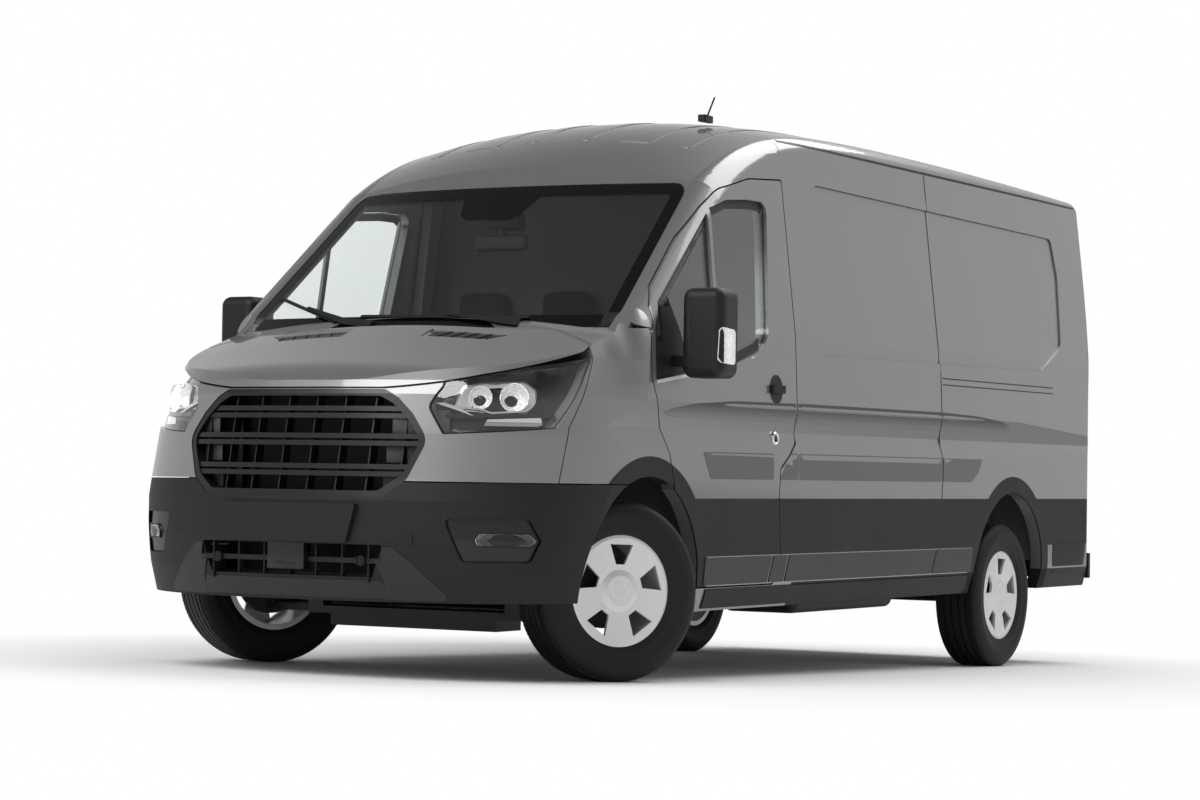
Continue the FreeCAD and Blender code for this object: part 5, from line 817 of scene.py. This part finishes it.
MIRROR_SKIN = skin("mirror_left")
HEAD_FOOT_X, HEAD_WIDTH_KEPT = 1.1, 0.982
head = node_mesh("mirror_left")
for vertex in head.verts:
    if vertex.co.x > HEAD_FOOT_X:
        vertex.co.x = HEAD_FOOT_X + (vertex.co.x - HEAD_FOOT_X) * HEAD_WIDTH_KEPT
heads = finish_pair(head, "mirror_head", TRIM, DOOR_BODY, 40)
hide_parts("mirror_left")
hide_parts("mirror_right")
for name, low, high, radius in (("mirror_glass", 1.3, 1.546, 0.03), ("mirror_spot", 1.22, 1.288, 0.02)):
    outline = on_end(rectangle((1.066, low), (1.221, high)), -1.6)
    finish_pair(laid(MIRROR_SKIN, outline, FORWARD, 0.0005, 0.2, radius), name, REFLECTOR, DOOR_BODY)
indicator = on_side([(-1.792, 1.262), (-1.672, 1.256), (-1.672, 1.396), (-1.788, 1.405)], 1.2)
for name, material, thickness, lift in (("indicator_bowl", FACETS, 0.0, -0.001),
                                        ("indicator_lens", LENS, -0.0008, 0.0008)):
    plate = laid(MIRROR_SKIN, indicator, INWARD, thickness, 0.03, 0.018, 0.0, lift)
    finish_pair(plate, name, material, DOOR_BODY)
print("mirrors dressed")

# %% [markdown]
# The head lamp is solid in the frame. Here its front faces become a thin clear shell. The same
# faces, extruded inwards and without their fronts, leave a dark tray as deep as a real housing.

# %% Head lamps: lens and tray
LAMP_OUT = Vector((0.62, -0.75, 0.22)).normalized()
LENS_WALL, TRAY_GAP, TRAY_DEPTH, TRAY_WALL = 0.003, 0.0045, 0.045, 0.002


def faced_out(bm, faces):
    """Turns a shell so that the given faces of it look out of the lamp."""
    outward(bm)
    if sum(face.normal.dot(LAMP_OUT) for face in faces) < 0:
        bmesh.ops.reverse_faces(bm, faces=bm.faces)


lens = node_mesh("headlamps")
hidden = [face for face in lens.faces if face.calc_center_median().x < 0
          or face.normal.dot(LAMP_OUT) < 0.3 or abs(face.normal.z) > 0.86]
bmesh.ops.delete(lens, geom=hidden, context="FACES")
faced_out(lens, lens.faces)
LAMP_SKIN = BVHTree.FromBMesh(lens)
tray = lens.copy()
bmesh.ops.solidify(lens, geom=lens.faces[:], thickness=LENS_WALL)
lens_pieces = finish_pair(lens, "headlamp_lens", LENS, smooth=40)
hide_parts("headlamps")
for vertex in tray.verts:
    vertex.co -= vertex.normal * TRAY_GAP
moved = extruded(tray, -LAMP_OUT * TRAY_DEPTH)
fronts = [face for face in tray.faces if all(vertex not in moved for vertex in face.verts)]
bmesh.ops.delete(tray, geom=fronts, context="FACES")
faced_out(tray, [face for face in tray.faces if all(vertex in moved for vertex in face.verts)])
bmesh.ops.solidify(tray, geom=tray.faces[:], thickness=TRAY_WALL)
finish_pair(tray, "headlamp_tray", GLOSS_BLACK, smooth=40)
print("lens and tray made")

# %% [markdown]
# Two polished bowls sit side by side in one bright pill-shaped rim, over a narrow light strip. The
# bowls are spun parabolas, faceted by their few steps, each with a small bulb.

# %% Head lamps: bowls, rim and strip
LAMP_AXIS = Vector((0.42, -0.9, 0.05)).normalized()


def lamp_bowl(centre, radius, depth, facets):
    bowl = spun([(0.0, radius), (-0.25 * depth, radius * 0.95), (-0.55 * depth, radius * 0.78),
                 (-0.85 * depth, radius * 0.5), (-depth, radius * 0.18), (-depth, 0.0),
                 (-depth - 0.003, 0.0), (-depth - 0.003, radius * 0.2), (-0.9 * depth, radius * 0.54),
                 (-0.58 * depth, radius * 0.83), (-0.26 * depth, radius * 1.01), (0.0, radius * 1.05)],
                facets, centre, LAMP_AXIS, True)
    bulb = spun([(-depth + 0.001, 0.0), (-depth + 0.001, 0.007), (-0.45 * depth, 0.007),
                 (-0.38 * depth, 0.004), (-0.36 * depth, 0.0)], 20, centre, LAMP_AXIS)
    return bowl, bulb


main_bowl, main_bulb = lamp_bowl((0.802, -2.64, 1.098), 0.053, 0.036, 28)
side_bowl, side_bulb = lamp_bowl((0.696, -2.712, 1.096), 0.043, 0.03, 24)
finish_pair(merged(main_bowl, side_bowl), "lamp_bowls", FACETS, smooth=8)
finish_pair(merged(main_bulb, side_bulb), "lamp_bulbs", LENS)
pill = [(0.632, -2.79, 1.06), (0.64, -2.75, 1.138), (0.694, -2.71, 1.153), (0.825, -2.6, 1.162),
        (0.866, -2.58, 1.129), (0.873, -2.6, 1.075), (0.85, -2.63, 1.045), (0.749, -2.72, 1.035),
        (0.716, -2.74, 1.05), (0.645, -2.78, 1.053)]
finish_pair(laid(LAMP_SKIN, pill, -LAMP_OUT, 0.014, 0.03, 0.012, 0.007, -0.022),
            "lamp_rim", REFLECTOR)
finish_pair(laid(LAMP_SKIN, pill, -LAMP_OUT, 0.001, 0.03, 0.012, 0.0, -0.04),
            "lamp_floor", SILVER)
strip = [(0.735, -2.745, 0.992), (0.742, -2.73, 1.016), (0.893, -2.59, 1.026), (0.9, -2.59, 1.0),
         (0.88, -2.6, 0.99)]
finish_pair(laid(LAMP_SKIN, strip, -LAMP_OUT, 0.004, 0.02, 0.004, 0.0, -0.018),
            "lamp_strip", REFLECTOR, smooth=10)
shelf = [(0.6, -2.8, 1.018), (0.6, -2.8, 1.036), (0.72, -2.74, 1.04), (0.93, -2.55, 1.044),
         (0.935, -2.55, 1.03), (0.725, -2.74, 1.022)]
finish_pair(laid(LAMP_SKIN, shelf, -LAMP_OUT, 0.02, 0.03, 0.003, 0.0, -0.03),
            "lamp_shelf", GRILLE_BLACK)
print("bowls, rim and strip made")

# %% [markdown]
# The fog lamp's bezel is black moulding, and only a small window in it is a lamp: a lens laid just
# off the bezel, with a bright plate behind it and a dark rim.

# %% Fog lamps
for bezel_slot in frame["nodes"]["fog_lamps"].material_slots:
    bezel_slot.material = GRILLE_BLACK
FOG_SKIN = skin("fog_lamps")
fog_way = Vector((-0.55, 0.83, 0)).normalized()
fog_window = [(0.742, -2.8, 0.534), (0.9, -2.66, 0.532), (0.918, -2.64, 0.56), (0.896, -2.66, 0.59),
              (0.752, -2.79, 0.592), (0.735, -2.81, 0.563)]
for name, material, slot, thickness, ring, lift in (("fog_bowl", FACETS, "lamp_clear", 0.0015, 0.0, 0.0),
                                                    ("fog_lens", LENS, "lamp_clear", 0.003, 0.0, 0.005),
                                                    ("fog_rim", TRIM, "trim", 0.008, 0.006, 0.0)):
    plate = laid(FOG_SKIN, fog_window, fog_way, thickness, 0.03, 0.008, ring, lift)
    finish_pair(plate, name, material)
print("fog lamps glazed")

# %% [markdown]
# The grille's rim and double bars are in the frame. Dull blanking plates close the openings beside
# the radiator, with a black shroud behind them. On each side of the bonnet a mesh with slanted
# slats lets air in.

# %% Grille blanking plates and bonnet vents
BLANK = smooth_plastic("satin grey polypropylene", "#3a3a3a", 0.5)
blanks = []
for inner_x, outer_x, low_z, high_z in ((0.405, 0.515, 0.95, 1.012), (0.385, 0.505, 0.846, 0.906),
                                        (0.375, 0.455, 0.745, 0.792)):
    plate = block((inner_x, -0.002, low_z), (outer_x, 0.002, high_z), 0.0015)
    for vertex in plate.verts:
        vertex.co.y += -2.868 + 0.42 * (vertex.co.x - 0.4)
    blanks.append(plate)
shroud = block((0.35, -2.792, 0.7), (0.612, -2.786, 1.045), 0.002)
finish_pair(shroud, "grille_shroud", CHASSIS)
finish_pair(merged(*blanks), "grille_blanks", BLANK)
BONNET_SKIN = skin("bonnet")
vent = on_top([(0.205, -2.366), (0.5, -2.366), (0.575, -2.28), (0.205, -2.28)], 1.5)
finish_pair(laid(BONNET_SKIN, vent, DOWNWARD, 0.0012, 0.06, 0.006),
            "vent_mesh", GRILLE_BLACK, "bonnet_lid")
slats = []
for index in range(5):
    x = 0.245 + 0.062 * index
    slat = on_top([(x, -2.362), (x + 0.006, -2.362), (x + 0.046, -2.284), (x + 0.04, -2.284)], 1.5)
    slats.append(laid(BONNET_SKIN, slat, DOWNWARD, 0.004))
finish_pair(merged(*slats), "vent_slats", TRIM, "bonnet_lid")
print("blanks and vents made")

# %% [markdown]
# The bumper's lower lip is a second moulding with a satin face, seen as a wide U round the intake.
# A round cover hides the towing socket. Two sensors and a square box sit in the intake.

# %% Bumper details
BUMPER_SKIN = skin("front_bumper", "fog_lamps")
LIP = grained_plastic("satin polypropylene", "#262626", 0.42, 0.003)
lip_side = [(0.372, 0.53), (0.455, 0.53), (0.53, 0.47), (0.64, 0.352), (0.64, 0.33), (0.42, 0.33),
            (0.42, 0.4)]
finish_pair(laid(BUMPER_SKIN, on_end(lip_side), REARWARD, 0.003, 0.05, 0.008), "bumper_lip", LIP)
lip_low = [(-0.44, 0.334), (0.44, 0.334), (0.41, 0.402), (-0.41, 0.402)]
finish_piece(laid(BUMPER_SKIN, on_end(lip_low), REARWARD, 0.0024, 0.06, 0.006),
             "bumper_lip_middle", LIP)
finish_piece(laid(BUMPER_SKIN, on_end(circle(0.505, 0.56, 0.0385, 28)), REARWARD, 0.0016, 0.2),
             "towing_cover", CLADDING)
SENSOR = [(0.0, 0.0), (0.013, 0.0), (0.013, 0.009), (0.011, 0.01), (0.011, 0.014), (0.014, 0.015),
          (0.014, 0.019), (0.0, 0.02)]
sensors = [spun(SENSOR, 28, (x, -2.952, 0.476), FORWARD) for x in (-0.333, 0.333)]
finish_piece(merged(*sensors), "parking_sensors", TRIM)
box = block((-0.085, -2.982, 0.436), (0.085, -2.93, 0.548), 0.006, 3)
notch = block((-0.045, -2.9845, 0.44), (0.045, -2.975, 0.468), 0.003, 2)
finish_piece(merged(box, notch), "radar_box", GRILLE_BLACK)
print("bumper dressed")


# %% [markdown]
# Seat cushions are soft, so each is its own padded piece. A box is cut into a net, its sides are
# drawn in between the corners, its faces are crowned and one subdivision rounds it off. Sewn seams
# are lines of points pulled in, where the cover is stitched down to the foam.

# %% Padded seats
SEAM_REACH, SEAM_DEPTH, ROUNDNESS = 0.1, 0.16, 0.85


def cushion(name, low, high, crown, seams=(), lean=0.0):
    """A soft box with crowned faces and sewn seams, leaned back about its lower front edge."""
    bm = bmesh.new()
    bmesh.ops.create_cube(bm, size=2)
    bmesh.ops.subdivide_edges(bm, edges=bm.edges[:], cuts=12, use_grid_fill=True)
    low, high = Vector(low), Vector(high)
    middle, half = (low + high) / 2, (high - low) / 2
    thin = min(range(3), key=lambda axis: half[axis])
    first, second = [axis for axis in range(3) if axis != thin]
    for vertex in bm.verts:
        u = vertex.co.copy()
        size = (abs(u.x) ** 5 + abs(u.y) ** 5 + abs(u.z) ** 5) ** 0.2
        rounded = u.lerp(u / size, ROUNDNESS)
        place = Vector([rounded[axis] * half[axis] for axis in range(3)])
        fade = (1 - min(1, abs(u[first])) ** 2) * (1 - min(1, abs(u[second])) ** 2)
        place[thin] *= 1 - crown + crown * fade ** 0.5
        for seam in seams:
            near = max(0.0, 1 - abs(u.x - seam) / SEAM_REACH)
            if abs(u[thin]) > 0.75:
                place[thin] *= 1 - SEAM_DEPTH * near ** 0.6
        vertex.co = middle + place
    outward(bm)
    if lean:
        foot = Vector((0, low[1], low[2]))
        turned(bm, Matrix.Translation(foot) @ Matrix.Rotation(-lean, 4, "X") @ Matrix.Translation(-foot))
    piece = finish_piece(bm, name, CLOTH, smooth=180)
    smoother = piece.modifiers.new("smoother", "SUBSURF")
    smoother.levels = smoother.render_levels = 1
    return piece


driver = [
    cushion("driver_cushion", (0.225, -1.19, 0.722), (0.715, -0.7, 0.836), 0.3, (-0.62, 0.62)),
    cushion("driver_back", (0.235, -0.772, 0.83), (0.705, -0.65, 1.44), 0.3, (-0.6, 0.6), lean=0.07),
    cushion("driver_headrest", (0.345, -0.668, 1.452), (0.595, -0.598, 1.636), 0.25)]
bench = [
    cushion("bench_cushion", (-0.832, -1.19, 0.722), (0.072, -0.7, 0.836), 0.22, (-0.88, 0.0, 0.88)),
    cushion("bench_back", (-0.832, -0.772, 0.83), (0.072, -0.65, 1.44), 0.22, (-0.88, 0.0, 0.88), lean=0.07),
    cushion("bench_headrest_outer", (-0.73, -0.668, 1.452), (-0.48, -0.598, 1.636), 0.25),
    cushion("bench_headrest_inner", (-0.28, -0.668, 1.452), (-0.03, -0.598, 1.636), 0.25)]
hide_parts("driver_seat")
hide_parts("passenger_bench")
frames = [block((0.26, -1.17, 0.395), (0.68, -0.715, 0.722), 0.02, 3),
          block((-0.8, -1.17, 0.395), (0.04, -0.715, 0.722), 0.02, 3),
          block((0.255, -0.712, 0.7), (0.685, -0.672, 0.84), 0.008),
          block((-0.815, -0.712, 0.7), (0.055, -0.672, 0.84), 0.008)]
for x in (0.42, 0.52, -0.655, -0.555, -0.205, -0.105):
    frames.append(spun([(0.0, 0.0), (0.0, 0.006), (0.1, 0.006), (0.1, 0.0)], 16, (x, -0.634, 1.4)))
finish_piece(merged(*frames), "seat_frames", TRIM)
print("cushions", len(driver) + len(bench))

# %% [markdown]
# The dashboard's main form is in the frame. On it go the hood over the dials, the screen, four air
# vents and the column's cowl, which someone sees through the windscreen.

# %% Dashboard pieces
hood = block((0.27, -1.64, 1.335), (0.67, -1.56, 1.398), 0.022, 4)
dials = block((0.3, -1.566, 1.29), (0.64, -1.556, 1.372), 0.004)
screen = block((-0.115, -1.592, 1.2), (0.115, -1.566, 1.352), 0.006, 3)
cowl = block((0.415, -1.56, 1.175), (0.525, -1.44, 1.27), 0.022, 4)
finish_piece(merged(hood, cowl), "dial_hood", TRIM)
finish_piece(merged(dials, screen), "dials_and_screen", GLOSS_BLACK)
vents = []
for x in (-0.76, -0.2, 0.2, 0.76):
    vents.append(block((x - 0.06, -1.588, 1.23), (x + 0.06, -1.568, 1.285), 0.006))
    for level in range(3):
        z = 1.242 + 0.015 * level
        vents.append(block((x - 0.052, -1.57, z), (x + 0.052, -1.563, z + 0.004), 0.001, 1))
finish_piece(merged(*vents), "dash_vents", GRILLE_BLACK)
pads = []
for x in (0.335, 0.425, 0.53):
    pads.append(block((x - 0.03, -1.76, 0.5), (x + 0.03, -1.745, 0.6), 0.005))
    pads.append(block((x - 0.008, -1.775, 0.56), (x + 0.008, -1.752, 0.9), 0.003))
finish_piece(merged(*pads), "pedals", TRIM)
print("dashboard and pedals made")

# %% [markdown]
# Long low plates stiffen the thin roof skin. The left rear door carries the number plate's place
# and its lamp, and the bumper has a tread for the step.

# %% Roof ribs and rear details
ROOF_SKIN = skin("load_roof", "cab_roof")
ribs = []
for inner_x, outer_x in ((0.105, 0.165), (0.3, 0.47), (0.61, 0.665)):
    rib = on_top(rectangle((inner_x, -1.02), (outer_x, 2.6)), 2.45)
    ribs.append(laid(ROOF_SKIN, rib, DOWNWARD, 0.003, 0.05, 0.015))
finish_pair(merged(*ribs), "roof_ribs", PAINT)
REAR_SKIN = skin("rear_door_left", "tail_lamps", "rear_bumper")
BEHIND = 3.0
plate_place = on_end(rectangle((0.12, 1.02), (0.66, 1.15)), BEHIND)
finish_piece(laid(REAR_SKIN, plate_place, FORWARD, 0.004, 0.2, 0.012),
             "plate_place", CLADDING, "rear_door_left_leaf")
lamp_bar = on_end(rectangle((0.18, 1.158), (0.6, 1.2)), BEHIND)
finish_piece(laid(REAR_SKIN, lamp_bar, FORWARD, 0.018, 0.2, 0.01),
             "plate_lamp_bar", TRIM, "rear_door_left_leaf")
clear_part = on_end(rectangle((0.9, 1.06), (0.985, 1.15)), BEHIND)
finish_pair(laid(REAR_SKIN, clear_part, FORWARD, 0.002, 0.04, 0.008), "reversing_lens", LENS)
tread = on_top(rectangle((-0.6, 2.915), (0.6, 2.97)), 0.6)
finish_piece(laid(REAR_SKIN, tread, DOWNWARD, 0.0025, 0.2, 0.01), "bumper_tread", TRIM)
print("roof and rear dressed")

# %% [markdown]
# A coil spring is a helix. Its round section is turned in small steps by the spin operator, which
# moves it along while it turns it.

# %% Springs on the struts
def coil(centre, radius, wire, low, high, turns):
    """A closed helix between two heights."""
    bm = bmesh.new()
    bmesh.ops.create_circle(bm, segments=8, radius=wire, matrix=Matrix.Translation((radius, 0, low))
                            @ Matrix.Rotation(math.radians(90), 4, "X"))
    steps = turns * 16
    bmesh.ops.spin(bm, geom=bm.verts[:] + bm.edges[:], axis=(0, 0, 1),
                   dvec=(0, 0, (high - low) / steps), angle=math.tau * turns, steps=steps)
    bmesh.ops.holes_fill(bm, edges=[edge for edge in bm.edges if edge.is_boundary], sides=8)
    outward(bm)
    bmesh.ops.translate(bm, verts=bm.verts, vec=centre)
    return bm


strut_x = abs(kingpin.x) - 0.1
for side, sign in (("left", 1), ("right", -1)):
    spring = coil((sign * strut_x, kingpin.y, 0), 0.062, 0.007, 0.65, 0.79, 4)
    finish_piece(spring, "strut_spring_" + side, CHASSIS, "hub_carrier_" + side, raked=False)
print("springs at", round(strut_x, 4))
